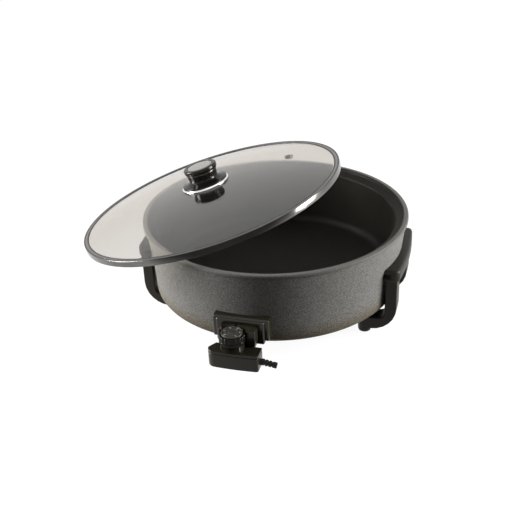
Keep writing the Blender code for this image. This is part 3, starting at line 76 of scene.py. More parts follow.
POT_MIDDLE = (0.0, 0.0, 0.06)
soft_lamp("left_lamp", (-1.68, -0.44, 0.50), POT_MIDDLE, width=0.60, height=1.05, power=70.0)
soft_lamp("right_lamp", (1.69, 0.25, 0.52), POT_MIDDLE, width=0.70, height=1.05, power=60.0)
soft_lamp("top_lamp", (-0.25, 0.30, 1.90), (0.0, 0.0, 0.05), width=1.6, height=1.3, power=7.0)


def node_of(tree, kind, settings=None, values=None, feeds=None):
    """A node with its settings, its plain values and the sockets that feed it."""
    node = tree.nodes.new("ShaderNode" + kind)
    for key, value in (settings or {}).items():
        setattr(node, key, value)
    for key, value in (values or {}).items():
        node.inputs[key].default_value = value
    for key, source in (feeds or {}).items():
        tree.links.new(source, node.inputs[key])
    return node


def room_share(tree):
    """1 for rays that show the room itself: to the camera, in gloss and through glass."""
    path = node_of(tree, "LightPath")
    seen = node_of(tree, "Math", {"operation": "MAXIMUM"}, {},
                   {0: path.outputs["Is Camera Ray"], 1: path.outputs["Is Glossy Ray"]})
    shown = node_of(tree, "Math", {"operation": "MAXIMUM"}, {},
                    {0: seen.outputs[0], 1: path.outputs["Is Transmission Ray"]})
    return shown.outputs[0]


ROOM_WHITE = 1.0
ROOM_DIM = 0.03
room = bpy.data.worlds.new("room")
room.use_nodes = True
bpy.context.scene.world = room
room_level = node_of(room.node_tree, "MapRange", {}, {"To Min": ROOM_DIM, "To Max": ROOM_WHITE},
                     {"Value": room_share(room.node_tree)})
room_light = room.node_tree.nodes["Background"]
room_light.inputs["Color"].default_value = (1.0, 1.0, 1.0, 1.0)
room.node_tree.links.new(room_level.outputs["Result"], room_light.inputs["Strength"])

FLOOR_NEAR_LIFT = 0.93
floor_finish = bpy.data.materials.new("floor_finish")
floor_finish.use_nodes = True
floor_tree = floor_finish.node_tree
floor_tree.nodes.clear()
floor_place = node_of(floor_tree, "TexCoord")
floor_reach = node_of(floor_tree, "VectorMath", {"operation": "LENGTH"}, {},
                      {0: floor_place.outputs["Object"]})
floor_far = node_of(floor_tree, "MapRange", {"interpolation_type": "SMOOTHSTEP"},
                    {"From Min": 0.5, "From Max": 3.0, "To Min": FLOOR_NEAR_LIFT, "To Max": ROOM_WHITE},
                    {"Value": floor_reach.outputs["Value"]})
floor_amount = node_of(floor_tree, "Math", {"operation": "MULTIPLY"}, {},
                       {0: room_share(floor_tree), 1: floor_far.outputs["Result"]})
floor_lift = node_of(floor_tree, "Emission", {}, {}, {"Strength": floor_amount.outputs[0]})
floor_matt = node_of(floor_tree, "BsdfDiffuse", {}, {"Color": (0.12, 0.12, 0.12, 1.0)})
floor_both = node_of(floor_tree, "AddShader", {}, {},
                     {0: floor_matt.outputs[0], 1: floor_lift.outputs[0]})
node_of(floor_tree, "OutputMaterial", {}, {}, {"Surface": floor_both.outputs[0]})

TABLE_HEIGHT = -0.0360
FLOOR_BELOW_PADS = 0.0002
floor_shape = bmesh.new()
bmesh.ops.create_circle(floor_shape, cap_ends=True, segments=96, radius=30.0,
                        matrix=Matrix.Translation((0.0, 0.0, TABLE_HEIGHT - FLOOR_BELOW_PADS)))
floor_mesh = bpy.data.meshes.new("floor")
floor_shape.to_mesh(floor_mesh)
floor_shape.free()
floor_mesh.materials.append(floor_finish)
floor = bpy.data.objects.new("floor", floor_mesh)
bpy.context.scene.collection.objects.link(floor)

# Cooking pan: one aluminium casting with a flat floor, steep wall, sloped step and a rolled rim,
# dark non-stick coating all over. It hangs in the shell by its rim. Three bosses below its floor
# take the screws that hold the shell.


def soft_line(corners, steps):
    """A line of (radius, height) points from corners (radius, height, cut), the corners rounded."""
    line = []
    for index, (radius, height, cut) in enumerate(corners):
        here = Vector((radius, height))
        if cut == 0.0:
            line.append(here)
            continue
        before = Vector(corners[index - 1][:2])
        after = Vector(corners[(index + 1) % len(corners)][:2])
        first = here + (before - here).normalized() * cut
        last = here + (after - here).normalized() * cut
        for step in range(steps + 1):
            share = step / steps
            line.append(first.lerp(here, share).lerp(here.lerp(last, share), share))
    return line


def turned_shape(line, steps, closed=True):
    """A line of (radius, height) points turned once round the upright axis."""
    shape = bmesh.new()
    points = [shape.verts.new((radius, 0.0, height)) for radius, height in line]
    edges = [shape.edges.new(pair) for pair in zip(points, points[1:])]
    if closed:
        edges.append(shape.edges.new((points[-1], points[0])))
    bmesh.ops.spin(shape, geom=points + edges, cent=(0, 0, 0), axis=(0, 0, 1), angle=math.tau,
                   steps=steps, use_merge=True)
    bmesh.ops.remove_doubles(shape, verts=shape.verts, dist=0.00001)
    bmesh.ops.recalc_face_normals(shape, faces=shape.faces)
    return shape


def set_in_place(shape, name, finish, body, nodes=(), sharp=35.0, keep_flat=False):
    """Makes the finished piece of a shape, in its material, riding on its body."""
    mesh = bpy.data.meshes.new(name)
    shape.to_mesh(mesh)
    shape.free()
    mesh.polygons.foreach_set("use_smooth", [True] * len(mesh.polygons))
    mesh.set_sharp_from_angle(angle=math.radians(sharp))
    mesh.materials.append(finish)
    piece = bpy.data.objects.new(name, mesh)
    bpy.context.scene.collection.objects.link(piece)
    if keep_flat:
        weights = piece.modifiers.new("flat_faces_stay_flat", "WEIGHTED_NORMAL")
        weights.keep_sharp = True
        weights.weight = 60
    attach(piece, body)
    if nodes:
        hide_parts(*nodes)


def new_finish(name, colour, roughness, metallic=0.0, **sockets):
    """A material with its plain values set on the shader's own sockets."""
    finish = bpy.data.materials.new(name)
    finish.use_nodes = True
    surface = finish.node_tree.nodes["Principled BSDF"]
    surface.inputs["Base Color"].default_value = (*colour, 1.0)
    surface.inputs["Roughness"].default_value = roughness
    surface.inputs["Metallic"].default_value = metallic
    for socket, value in sockets.items():
        surface.inputs[socket.replace("_", " ")].default_value = value
    return finish


def effect_group(name, inputs, outputs):
    """An empty node group with named inputs (name, kind, value) and outputs (name, kind)."""
    group = bpy.data.node_groups.new(name, "ShaderNodeTree")
    for title, kind, value in inputs:
        socket = group.interface.new_socket(title, in_out="INPUT", socket_type="NodeSocket" + kind)
        if value is not None:
            socket.default_value = value
    for title, kind in outputs:
        group.interface.new_socket(title, in_out="OUTPUT", socket_type="NodeSocket" + kind)
    return group, group.nodes.new("NodeGroupInput"), group.nodes.new("NodeGroupOutput")


# Flecks of two sizes in a coat of paint: their colour, roughness and how far they stand out.
fleck_group, fleck_in, fleck_out = effect_group(
    "flecked_coat",
    (("Place", "Vector", None), ("Size", "Float", 0.0007), ("Coat", "Color", (0.03, 0.03, 0.03, 1)),
     ("Fleck", "Color", (0.3, 0.3, 0.3, 1)), ("Share", "Float", 0.35)),
    (("Colour", "Color"), ("Roughness", "Float"), ("Height", "Float")))
fleck_scale = node_of(fleck_group, "Math", {"operation": "DIVIDE"}, {0: 1.0},
                      {1: fleck_in.outputs["Size"]})
coarse_scale = node_of(fleck_group, "Math", {"operation": "MULTIPLY"}, {1: 0.55},
                       {0: fleck_scale.outputs[0]})
fleck_masks = []
for scale, softness in ((fleck_scale, 0.10), (coarse_scale, 0.22)):
    cells = node_of(fleck_group, "TexVoronoi", {}, {"Randomness": 1.0},
                    {"Vector": fleck_in.outputs["Place"], "Scale": scale.outputs[0]})
    lot = node_of(fleck_group, "SeparateColor", {}, {}, {"Color": cells.outputs["Color"]})
    drawn = node_of(fleck_group, "Math", {"operation": "SUBTRACT"}, {},
                    {0: fleck_in.outputs["Share"], 1: lot.outputs[0]})
    spread = node_of(fleck_group, "MapRange", {"interpolation_type": "SMOOTHSTEP"},
                     {"From Min": -softness, "From Max": softness}, {"Value": drawn.outputs[0]})
    fleck_masks.append(spread.outputs["Result"])
fleck_mean = node_of(fleck_group, "Mix", {"data_type": "FLOAT"}, {"Factor": 0.35},
                     {"A": fleck_masks[0], "B": fleck_masks[1]})
fleck_colour = node_of(fleck_group, "Mix", {"data_type": "RGBA"}, {},
                       {"Factor": fleck_mean.outputs["Result"], "A": fleck_in.outputs["Coat"],
                        "B": fleck_in.outputs["Fleck"]})
fleck_rough = node_of(fleck_group, "MapRange", {}, {"To Min": 0.58, "To Max": 0.40},
                      {"Value": fleck_mean.outputs["Result"]})
fleck_group.links.new(fleck_colour.outputs["Result"], fleck_out.inputs["Colour"])
fleck_group.links.new(fleck_rough.outputs["Result"], fleck_out.inputs["Roughness"])
fleck_group.links.new(fleck_mean.outputs["Result"], fleck_out.inputs["Height"])

# Fine grain of a moulded or sprayed surface, with slow changes of tone over it.
grain_group, grain_in, grain_out = effect_group(
    "surface_grain",
    (("Place", "Vector", None), ("Size", "Float", 0.0012), ("Colour", "Color", (0.1, 0.1, 0.1, 1)),
     ("Change", "Float", 0.2), ("Roughness", "Float", 0.4)),
    (("Colour", "Color"), ("Roughness", "Float"), ("Height", "Float")))
grain_scale = node_of(grain_group, "Math", {"operation": "DIVIDE"}, {0: 1.0},
                      {1: grain_in.outputs["Size"]})
grain_fine = node_of(grain_group, "TexNoise", {}, {"Detail": 2.0, "Roughness": 0.6},
                     {"Vector": grain_in.outputs["Place"], "Scale": grain_scale.outputs[0]})
grain_slow = node_of(grain_group, "TexNoise", {}, {"Scale": 34.0, "Detail": 3.0, "Roughness": 0.6},
                     {"Vector": grain_in.outputs["Place"]})
grain_both = node_of(grain_group, "Mix", {"data_type": "FLOAT"}, {"Factor": 0.5},
                     {"A": grain_fine.outputs["Fac"], "B": grain_slow.outputs["Fac"]})
grain_about = node_of(grain_group, "MapRange", {},
                      {"From Min": 0.3, "From Max": 0.7, "To Min": -0.5, "To Max": 0.5},
                      {"Value": grain_both.outputs["Result"]})
grain_amount = node_of(grain_group, "Math", {"operation": "MULTIPLY"}, {},
                       {0: grain_about.outputs["Result"], 1: grain_in.outputs["Change"]})
grain_factor = node_of(grain_group, "Math", {"operation": "ADD"}, {1: 1.0},
                       {0: grain_amount.outputs[0]})
grain_colour = node_of(grain_group, "VectorMath", {"operation": "SCALE"}, {},
                       {0: grain_in.outputs["Colour"], "Scale": grain_factor.outputs[0]})
grain_rough_part = node_of(grain_group, "Math", {"operation": "MULTIPLY"}, {1: 0.35},
                           {0: grain_amount.outputs[0]})
grain_rough = node_of(grain_group, "Math", {"operation": "ADD", "use_clamp": True}, {},
                      {0: grain_in.outputs["Roughness"], 1: grain_rough_part.outputs[0]})
grain_group.links.new(grain_colour.outputs[0], grain_out.inputs["Colour"])
grain_group.links.new(grain_rough.outputs[0], grain_out.inputs["Roughness"])
grain_group.links.new(grain_fine.outputs["Fac"], grain_out.inputs["Height"])


def grained_finish(name, colour, roughness, size, change, depth, metallic=0.0, **sockets):
    """A finish whose colour, roughness and relief come from the surface grain."""
    finish = new_finish(name, colour, roughness, metallic, **sockets)
    tree = finish.node_tree
    surface = tree.nodes["Principled BSDF"]
    place = node_of(tree, "TexCoord")
    grain = node_of(tree, "Group", {"node_tree": grain_group},
                    {"Size": size, "Colour": (*colour, 1.0), "Change": change,
                     "Roughness": roughness}, {"Place": place.outputs["Object"]})
    relief = node_of(tree, "Bump", {}, {"Strength": 1.0, "Distance": depth},
                     {"Height": grain.outputs["Height"]})
    tree.links.new(grain.outputs["Colour"], surface.inputs["Base Color"])
    tree.links.new(grain.outputs["Roughness"], surface.inputs["Roughness"])
    tree.links.new(relief.outputs["Normal"], surface.inputs["Normal"])
    return finish


RIM_RADIUS = 0.2100
RIM_TOP = 0.1230
FLOOR_TOP = 0.0190
FLOOR_UNDER = 0.0140
BOSS_MIDDLE = 0.0085
TURN_STEPS = 192
non_stick = grained_finish("non_stick_coating", (0.0092, 0.0086, 0.0075), 0.50, size=0.0011,
                           change=0.34, depth=0.00006, Specular_IOR_Level=0.08)
pan_tree = non_stick.node_tree
pan_place = node_of(pan_tree, "TexCoord")
pan_parts = node_of(pan_tree, "SeparateXYZ", {}, {}, {"Vector": pan_place.outputs["Object"]})
pan_flat = node_of(pan_tree, "CombineXYZ", {}, {},
                   {"X": pan_parts.outputs["X"], "Y": pan_parts.outputs["Y"]})
pan_reach = node_of(pan_tree, "VectorMath", {"operation": "LENGTH"}, {}, {0: pan_flat.outputs[0]})
rim_share = node_of(pan_tree, "MapRange", {"interpolation_type": "SMOOTHSTEP"},
                    {"From Min": 0.2015, "From Max": 0.2045}, {"Value": pan_reach.outputs["Value"]})
rim_flecks = node_of(pan_tree, "Group", {"node_tree": fleck_group},
                     {"Size": 0.0005, "Coat": (0.095, 0.092, 0.086, 1.0),
                      "Fleck": (0.175, 0.170, 0.160, 1.0), "Share": 0.40},
                     {"Place": pan_place.outputs["Object"]})
pan_surface = pan_tree.nodes["Principled BSDF"]
pan_colour = node_of(pan_tree, "Mix", {"data_type": "RGBA"}, {},
                     {"Factor": rim_share.outputs["Result"],
                      "A": pan_surface.inputs["Base Color"].links[0].from_socket,
                      "B": rim_flecks.outputs["Colour"]})
pan_tree.links.new(pan_colour.outputs["Result"], pan_surface.inputs["Base Color"])

pan_line = soft_line((
    (0.0, FLOOR_TOP, 0.0), (0.1847, FLOOR_TOP, 0.0150), (0.1892, 0.1112, 0.0010),
    (0.1912, 0.1138, 0.0006), (0.1994, 0.1186, 0.0012), (0.2018, RIM_TOP, 0.0014),
    (RIM_RADIUS, RIM_TOP, 0.0026), (RIM_RADIUS, 0.1182, 0.0006), (0.2066, 0.1172, 0.0003),
    (0.2064, 0.1164, 0.0), (0.1996, 0.1164, 0.0), (0.1932, 0.1104, 0.0020),
    (0.1887, FLOOR_UNDER, 0.0190), (0.0, FLOOR_UNDER, 0.0)), steps=6)
pan_shape = turned_shape(pan_line, TURN_STEPS, closed=False)
for node in ("body_screw_1", "body_screw_2", "body_screw_3"):
    low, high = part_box(node)
    boss_place = Matrix.Translation(((low.x + high.x) / 2, (low.y + high.y) / 2, BOSS_MIDDLE))
    bmesh.ops.create_cone(pan_shape, cap_ends=True, segments=40, radius1=0.0068, radius2=0.0080,
                          depth=0.0115, matrix=boss_place)
set_in_place(pan_shape, "pan_casting", non_stick, "pot", ("cooking_pan",))

# Outer shell: sheet steel spun to a flared wall with a rounded lower corner, sprayed with a dark
# speckled coat that reads as grey where light rakes it. A window behind the socket lets the
# contacts through, and a shallow bead stiffens the flat underside.
speckled_coat = new_finish("speckled_coat", (0.13, 0.127, 0.122), 0.50, Specular_IOR_Level=0.05)
coat_tree = speckled_coat.node_tree
coat_surface = coat_tree.nodes["Principled BSDF"]
coat_place = node_of(coat_tree, "TexCoord")
coat_flecks = node_of(coat_tree, "Group", {"node_tree": fleck_group},
                      {"Size": 0.00045, "Coat": (0.082, 0.079, 0.073, 1.0),
                       "Fleck": (0.285, 0.277, 0.262, 1.0), "Share": 0.40},
                      {"Place": coat_place.outputs["Object"]})
coat_height = node_of(coat_tree, "SeparateXYZ", {}, {}, {"Vector": coat_place.outputs["Object"]})
# Painted shade: the coat's colour is darkened and warmed towards the foot of the wall, where it turns
# under and shade falls.
coat_foot_painted_shade = node_of(coat_tree, "MapRange", {"interpolation_type": "SMOOTHSTEP"},
                   {"From Min": 0.002, "From Max": 0.040, "To Min": 0.95, "To Max": 0.0},
                   {"Value": coat_height.outputs["Z"]})
coat_painted_shade_tint = node_of(coat_tree, "Mix", {"data_type": "RGBA", "blend_type": "MULTIPLY"},
                    {"B": (0.62, 0.52, 0.36, 1.0)},
                    {"Factor": coat_foot_painted_shade.outputs["Result"], "A": coat_flecks.outputs["Colour"]})
coat_relief = node_of(coat_tree, "Bump", {}, {"Strength": 1.0, "Distance": 0.00008},
                      {"Height": coat_flecks.outputs["Height"]})
coat_tree.links.new(coat_painted_shade_tint.outputs["Result"], coat_surface.inputs["Base Color"])
coat_tree.links.new(coat_flecks.outputs["Roughness"], coat_surface.inputs["Roughness"])
coat_tree.links.new(coat_relief.outputs["Normal"], coat_surface.inputs["Normal"])

SHELL_WALL = 0.0014
SHELL_CORNER = 0.0155
SHELL_LOW_RADIUS = 0.1980
SHELL_FLARE = 0.0090
SHELL_TOP = 0.1161
FLARE_POWER = 1.8
BEAD_RADIUS = 0.0600
BEAD_HALF_WIDTH = 0.0020
BEAD_HEIGHT = 0.0006
WINDOW_HALF_WIDTH = 0.0228
WINDOW_LOW = 0.0226
WINDOW_HIGH = 0.0394
WALL_FRONT = -0.15
shell_wall = []
for height in (SHELL_TOP, 0.1060, 0.0960, 0.0860, 0.0760, 0.0660, 0.0560, 0.0480, 0.0395, 0.0310,
               0.0225):
    rise = (height - SHELL_CORNER) / (SHELL_TOP - SHELL_CORNER)
    shell_wall.append((SHELL_LOW_RADIUS + SHELL_FLARE * rise ** FLARE_POWER, height))


def shell_bend(radius):
    """The quarter round from the foot of the wall to the underside."""
    middle = SHELL_LOW_RADIUS - SHELL_CORNER
    turns = [math.radians(turn) for turn in range(0, 91, 10)]
    return [(middle + radius * math.cos(turn), SHELL_CORNER - radius * math.sin(turn))
            for turn in turns]


shell_outer = shell_wall + shell_bend(SHELL_CORNER)
shell_outer += [(BEAD_RADIUS + BEAD_HALF_WIDTH, 0.0), (BEAD_RADIUS, BEAD_HEIGHT),
                (BEAD_RADIUS - BEAD_HALF_WIDTH, 0.0), (0.0, 0.0)]
shell_inner = [(radius - SHELL_WALL, height) for radius, height in shell_wall]
shell_inner += shell_bend(SHELL_CORNER - SHELL_WALL) + [(0.0, SHELL_WALL)]
shell_shape = turned_shape(shell_outer[::-1] + shell_inner, TURN_STEPS, closed=False)
window_faces = []
for face in shell_shape.faces:
    middle = face.calc_center_median()
    on_front = abs(middle.x) < WINDOW_HALF_WIDTH and middle.y < WALL_FRONT
    if on_front and WINDOW_LOW < middle.z < WINDOW_HIGH:
        window_faces.append(face)
bmesh.ops.delete(shell_shape, geom=window_faces, context="FACES")
bmesh.ops.bridge_loops(shell_shape, edges=[edge for edge in shell_shape.edges if edge.is_boundary])
bmesh.ops.recalc_face_normals(shell_shape, faces=shell_shape.faces)
set_in_place(shell_shape, "shell_body", speckled_coat, "pot", ("outer_shell",))

# Works below the pan: a bent tubular element with a dark oxide skin, a pressed aluminium dish that
# throws its heat upwards, and plated screws up into the pan's bosses. All stay hidden in the shell.


def dress(finish, *nodes):
    """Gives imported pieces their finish; their shapes stay as they are."""
    for node in nodes:
        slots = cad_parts[node].data.materials
        if len(slots) == 0:
            slots.append(finish)
        for index in range(len(slots)):
            slots[index] = finish


def turned_metal(name, colour, roughness, lines, depth, centre=(0.0, 0.0, 0.0), slant=0.0,
                 metallic=1.0):
    """A surface with the fine rings that turning or brushing leaves round its middle."""
    finish = new_finish(name, colour, roughness, metallic)
    tree = finish.node_tree
    surface = tree.nodes["Principled BSDF"]
    place = node_of(tree, "TexCoord")
    centred = node_of(tree, "Mapping", {"vector_type": "TEXTURE"},
                      {"Location": centre, "Rotation": (0.0, slant, 0.0)},
                      {"Vector": place.outputs["Object"]})
    flat = node_of(tree, "VectorMath", {"operation": "MULTIPLY"}, {1: (1.0, 1.0, 0.0)},
                   {0: centred.outputs["Vector"]})
    radius = node_of(tree, "VectorMath", {"operation": "LENGTH"}, {}, {0: flat.outputs[0]})
    rings = node_of(tree, "TexNoise", {"noise_dimensions": "1D"},
                    {"Scale": lines, "Detail": 3.0, "Roughness": 0.7},
                    {"W": radius.outputs["Value"]})
    tone = node_of(tree, "MapRange", {},
                   {"From Min": 0.3, "From Max": 0.7, "To Min": 0.80, "To Max": 1.10},
                   {"Value": rings.outputs["Fac"]})
    toned = node_of(tree, "VectorMath", {"operation": "SCALE"}, {0: colour},
                    {"Scale": tone.outputs["Result"]})
    rough = node_of(tree, "MapRange", {},
                    {"From Min": 0.3, "From Max": 0.7, "To Min": roughness * 0.8,
                     "To Max": roughness * 1.3}, {"Value": rings.outputs["Fac"]})
    relief = node_of(tree, "Bump", {}, {"Strength": 0.6, "Distance": depth},
                     {"Height": rings.outputs["Fac"]})
    tree.links.new(toned.outputs[0], surface.inputs["Base Color"])
    tree.links.new(rough.outputs["Result"], surface.inputs["Roughness"])
    tree.links.new(relief.outputs["Normal"], surface.inputs["Normal"])
    return finish


oxide_steel = grained_finish("element_oxide", (0.16, 0.14, 0.125), 0.52, size=0.0009, change=0.55,
                             depth=0.00003, metallic=0.85)
pressed_aluminium = turned_metal("pressed_aluminium", (0.72, 0.72, 0.73), 0.30, lines=900.0,
                                 depth=0.00003)
plated_steel = grained_finish("zinc_plating", (0.56, 0.57, 0.59), 0.34, size=0.0006, change=0.30,
                              depth=0.00001, metallic=1.0)
dress(oxide_steel, "heating_element")
dress(pressed_aluminium, "heat_reflector")
dress(plated_steel, "body_screw_1", "body_screw_2", "body_screw_3")

# Plug-in socket: a black moulded frame in two steps, screwed to the shell from inside. Behind its
# mouth stands a fired ceramic plate with two nickelled pins and the steel tube that guides the probe.


def moulded_piece(node, name, finish, body):
    """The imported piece's own shape, its triangles merged to whole faces, under a fine surface."""
    shape = bmesh.new()
    shape.from_mesh(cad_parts[node].data)
    bmesh.ops.remove_doubles(shape, verts=shape.verts, dist=0.00002)
    bmesh.ops.dissolve_limit(shape, angle_limit=math.radians(0.6), verts=shape.verts,
                             edges=shape.edges, use_dissolve_boundaries=False, delimit={"NORMAL"})
    set_in_place(shape, name, finish, body, (node,), sharp=38.0, keep_flat=True)


moulded_black = grained_finish("moulded_black", (0.0200, 0.0175, 0.0115), 0.20, size=0.0008,
                               change=0.40, depth=0.00002, Specular_IOR_Level=0.32)
nickel_pins = grained_finish("nickel_brass", (0.68, 0.64, 0.54), 0.24, size=0.0007, change=0.22,
                             depth=0.00001, metallic=1.0)
fired_ceramic = grained_finish("fired_ceramic", (0.80, 0.77, 0.70), 0.62, size=0.0010, change=0.14,
                               depth=0.00005)
moulded_piece("socket_frame", "socket_surround", moulded_black, "pot")
dress(fired_ceramic, "socket_insulator")
dress(nickel_pins, "contact_pin_left", "contact_pin_right")
dress(plated_steel, "probe_sleeve", "socket_screw_1", "socket_screw_2")

# Two handles: black heat-proof mouldings, each an ear with a finger recess below, two legs that
# bend in under the pot, and foot posts. Screws hold the ears from inside the shell, and longer
# ones go up through the posts into nuts.
handle_moulding = grained_finish("handle_moulding", (0.0145, 0.0124, 0.0082), 0.46, size=0.0009,
                                 change=0.45, depth=0.00003, Specular_IOR_Level=0.19)
for side in ("left", "right"):
    moulded_piece("handle_" + side, "handle_body_" + side, handle_moulding, "pot")
for number in ("1", "2", "3", "4"):
    dress(plated_steel, "handle_screw_" + number, "foot_screw_" + number, "foot_nut_" + number)

# Foot pads: soft rubber rings pressed over the ends of the posts, dusty black, slightly crowned
# where they stand on the table.
PAD_BORE = 0.0052
pad_rubber = grained_finish("pad_rubber", (0.022, 0.021, 0.020), 0.78, size=0.0007, change=0.50,
                            depth=0.00006)
for number in ("1", "2", "3", "4"):
    low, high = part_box("foot_pad_" + number)
    pad_outer = (high.x - low.x) / 2
    pad_line = soft_line(((PAD_BORE, low.z, 0.0004), (pad_outer, low.z, 0.0008),
                          (pad_outer, high.z, 0.0005), (PAD_BORE, high.z, 0.0003)), steps=4)
    pad_shape = turned_shape(pad_line, 48)
    bmesh.ops.translate(pad_shape, verts=pad_shape.verts,
                        vec=((low.x + high.x) / 2, (low.y + high.y) / 2, 0.0))
    set_in_place(pad_shape, "foot_ring_" + number, pad_rubber, "pot",
                 ("foot_pad_" + number,))

# Lid glass: lightly smoked toughened glass pressed to a shallow dome with a flat flange round it
# and two holes, for the knob's screw and the steam vent. The lid leans on the left of the rim.
LID_PLACE = (-0.1095, 0.0100, 0.126715)
LID_SLANT = math.radians(-15.85)
DOME_RADIUS = 0.2104
DOME_RISE = 0.0240
FLANGE_UNDER = 0.0049
FLANGE_RADIUS = 0.2164
GLASS_WALL = 0.0040
VENT_TURN = math.radians(33.0)
VENT_REACH = 0.1445
VENT_HOLE = 0.0040
lid_axes = Matrix.Translation(LID_PLACE) @ Matrix.Rotation(LID_SLANT, 4, "Y")

smoked_glass = new_finish("smoked_glass", (0.80, 0.78, 0.74), 0.04, Transmission_Weight=1.0,
                          IOR=1.50, Specular_IOR_Level=1.0)
glass_tree = smoked_glass.node_tree
glass_surface = glass_tree.nodes["Principled BSDF"]
glass_place = node_of(glass_tree, "TexCoord")
glass_haze = node_of(glass_tree, "TexNoise", {}, {"Scale": 9.0, "Detail": 2.0},
                     {"Vector": glass_place.outputs["Object"]})
glass_facing = node_of(glass_tree, "LayerWeight", {}, {"Blend": 0.5})
glass_share = node_of(glass_tree, "Math", {"operation": "MULTIPLY_ADD"}, {1: 0.10},
                      {0: glass_haze.outputs["Fac"], 2: glass_facing.outputs["Facing"]})
glass_tint = node_of(glass_tree, "MapRange", {"interpolation_type": "SMOOTHSTEP"},
                     {"From Min": 0.45, "From Max": 0.88}, {"Value": glass_share.outputs[0]})
glass_colour = node_of(glass_tree, "Mix", {"data_type": "RGBA"},
                       {"A": (0.70, 0.685, 0.66, 1.0), "B": (0.40, 0.335, 0.255, 1.0)},
                       {"Factor": glass_tint.outputs["Result"]})
glass_path = node_of(glass_tree, "LightPath")
glass_clear = node_of(glass_tree, "BsdfTransparent", {}, {"Color": (0.80, 0.78, 0.75, 1.0)})
glass_mixed = node_of(glass_tree, "MixShader", {}, {},
                      {0: glass_path.outputs["Is Shadow Ray"], 1: glass_surface.outputs[0],
                       2: glass_clear.outputs[0]})
glass_tree.links.new(glass_colour.outputs["Result"], glass_surface.inputs["Base Color"])
glass_tree.links.new(glass_mixed.outputs[0], glass_tree.nodes["Material Output"].inputs["Surface"])


def dome_under(radius):
    """Height of the glass dome's underside above the band's lower edge."""
    return FLANGE_UNDER + DOME_RISE * (1.0 - min(1.0, radius / DOME_RADIUS) ** 2)


dome_radii = [0.0045, 0.0120, 0.0240, 0.0360, 0.0480, 0.0600, 0.0720, 0.0840, 0.0960, 0.1080, 0.1200,
              0.1300, VENT_REACH - VENT_HOLE, VENT_REACH, VENT_REACH + VENT_HOLE, 0.1560, 0.1660,
              0.1760, 0.1860, 0.1940, 0.2015, 0.2065, 0.2090]
flange_top = FLANGE_UNDER + GLASS_WALL
glass_line = [(radius, dome_under(radius)) for radius in dome_radii]
glass_line += soft_line(((0.2113, FLANGE_UNDER, 0.0009), (FLANGE_RADIUS, FLANGE_UNDER, 0.0008),
                         (FLANGE_RADIUS, flange_top, 0.0008), (0.2113, flange_top, 0.0009)), steps=4)
glass_line += [(radius, dome_under(radius) + GLASS_WALL) for radius in reversed(dome_radii)]
glass_shape = turned_shape(glass_line, TURN_STEPS)
vent_faces = []
for face in glass_shape.faces:
    middle = face.calc_center_median()
    off_vent = abs(math.hypot(middle.x, middle.y) - VENT_REACH)
    if abs(math.atan2(middle.y, middle.x)) < math.tau / TURN_STEPS and off_vent < VENT_HOLE:
        vent_faces.append(face)
bmesh.ops.delete(glass_shape, geom=vent_faces, context="FACES")
bmesh.ops.bridge_loops(glass_shape, edges=[edge for edge in glass_shape.edges if edge.is_boundary])
bmesh.ops.recalc_face_normals(glass_shape, faces=glass_shape.faces)
glass_shape.transform(lid_axes @ Matrix.Rotation(VENT_TURN, 4, "Z"))
set_in_place(glass_shape, "lid_dome", smoked_glass, "lid", ("lid_glass",))

# Lid band: stainless strip rolled round the flange of the glass, with a short skirt that drops
# over the pan's rim and a narrow lip on top. A black gasket seals it to the glass, and a thin
# black line of sealant runs round the outer edge of the lip.


def turned_piece(name, line, steps, finish, body, nodes=(), axes=lid_axes, closed=True):
    """A turned piece, stood on its own axes and set in place."""
    shape = turned_shape(line, steps, closed)
    shape.transform(axes)
    set_in_place(shape, name, finish, body, nodes)


BAND_RADIUS = 0.2175
BAND_INSIDE = 0.2167
BAND_STEPS = 256
band_steel_painted_sheen = grained_finish("band_steel_painted_sheen", (0.60, 0.575, 0.54), 0.14, size=0.0300, change=0.30,
                               depth=0.00002, metallic=1.0)
band_tree = band_steel_painted_sheen.node_tree
# Painted reflection: the steel's colour is scaled from very dark where the band faces the view to
# brighter at grazing angles, standing in for the bright and dark reflections along the band.
band_facing = node_of(band_tree, "LayerWeight", {}, {"Blend": 0.5})
band_painted_sheen = node_of(band_tree, "MapRange", {"interpolation_type": "SMOOTHSTEP"},
                     {"From Min": 0.10, "From Max": 0.32, "To Min": 0.030, "To Max": 0.27},
                     {"Value": band_facing.outputs["Facing"]})
band_surface = band_tree.nodes["Principled BSDF"]
band_sheen_colour = node_of(band_tree, "VectorMath", {"operation": "SCALE"}, {},
                      {0: band_surface.inputs["Base Color"].links[0].from_socket,
                       "Scale": band_painted_sheen.outputs["Result"]})
band_tree.links.new(band_sheen_colour.outputs[0], band_surface.inputs["Base Color"])
band_line = soft_line((
    (BAND_INSIDE, 0.0, 0.0003), (BAND_RADIUS, 0.0, 0.0003), (BAND_RADIUS, 0.0096, 0.0007),
    (0.2105, 0.0096, 0.0003), (0.2105, 0.0090, 0.0002), (BAND_INSIDE, 0.0090, 0.0006),
    (BAND_INSIDE, 0.0046, 0.0), (0.2105, 0.0046, 0.0002), (0.2105, 0.0038, 0.0002),
    (BAND_INSIDE, 0.0038, 0.0)), steps=4)
turned_piece("lid_band_rolled", band_line, BAND_STEPS, band_steel_painted_sheen, "lid",
             ("lid_band",))

gasket_black = grained_finish("gasket_black", (0.012, 0.011, 0.010), 0.55, size=0.0010, change=0.30,
                              depth=0.00002)
gasket_line = soft_line((
    (0.2091, 0.0090, 0.0002), (0.2104, 0.0090, 0.0002), (0.2104, 0.0097, 0.0),
    (0.2112, 0.0097, 0.0), (0.2112, 0.0100, 0.0002), (0.2091, 0.0100, 0.0005)), steps=3)
turned_piece("lid_gasket", gasket_line, BAND_STEPS, gasket_black, "lid")
seal_line = soft_line(((0.2150, 0.00965, 0.0001), (0.2167, 0.00965, 0.0001),
                       (0.2167, 0.0099, 0.0001), (0.2150, 0.0099, 0.0001)), steps=2)
turned_piece("lid_edge_seal", seal_line, BAND_STEPS, gasket_black, "lid")

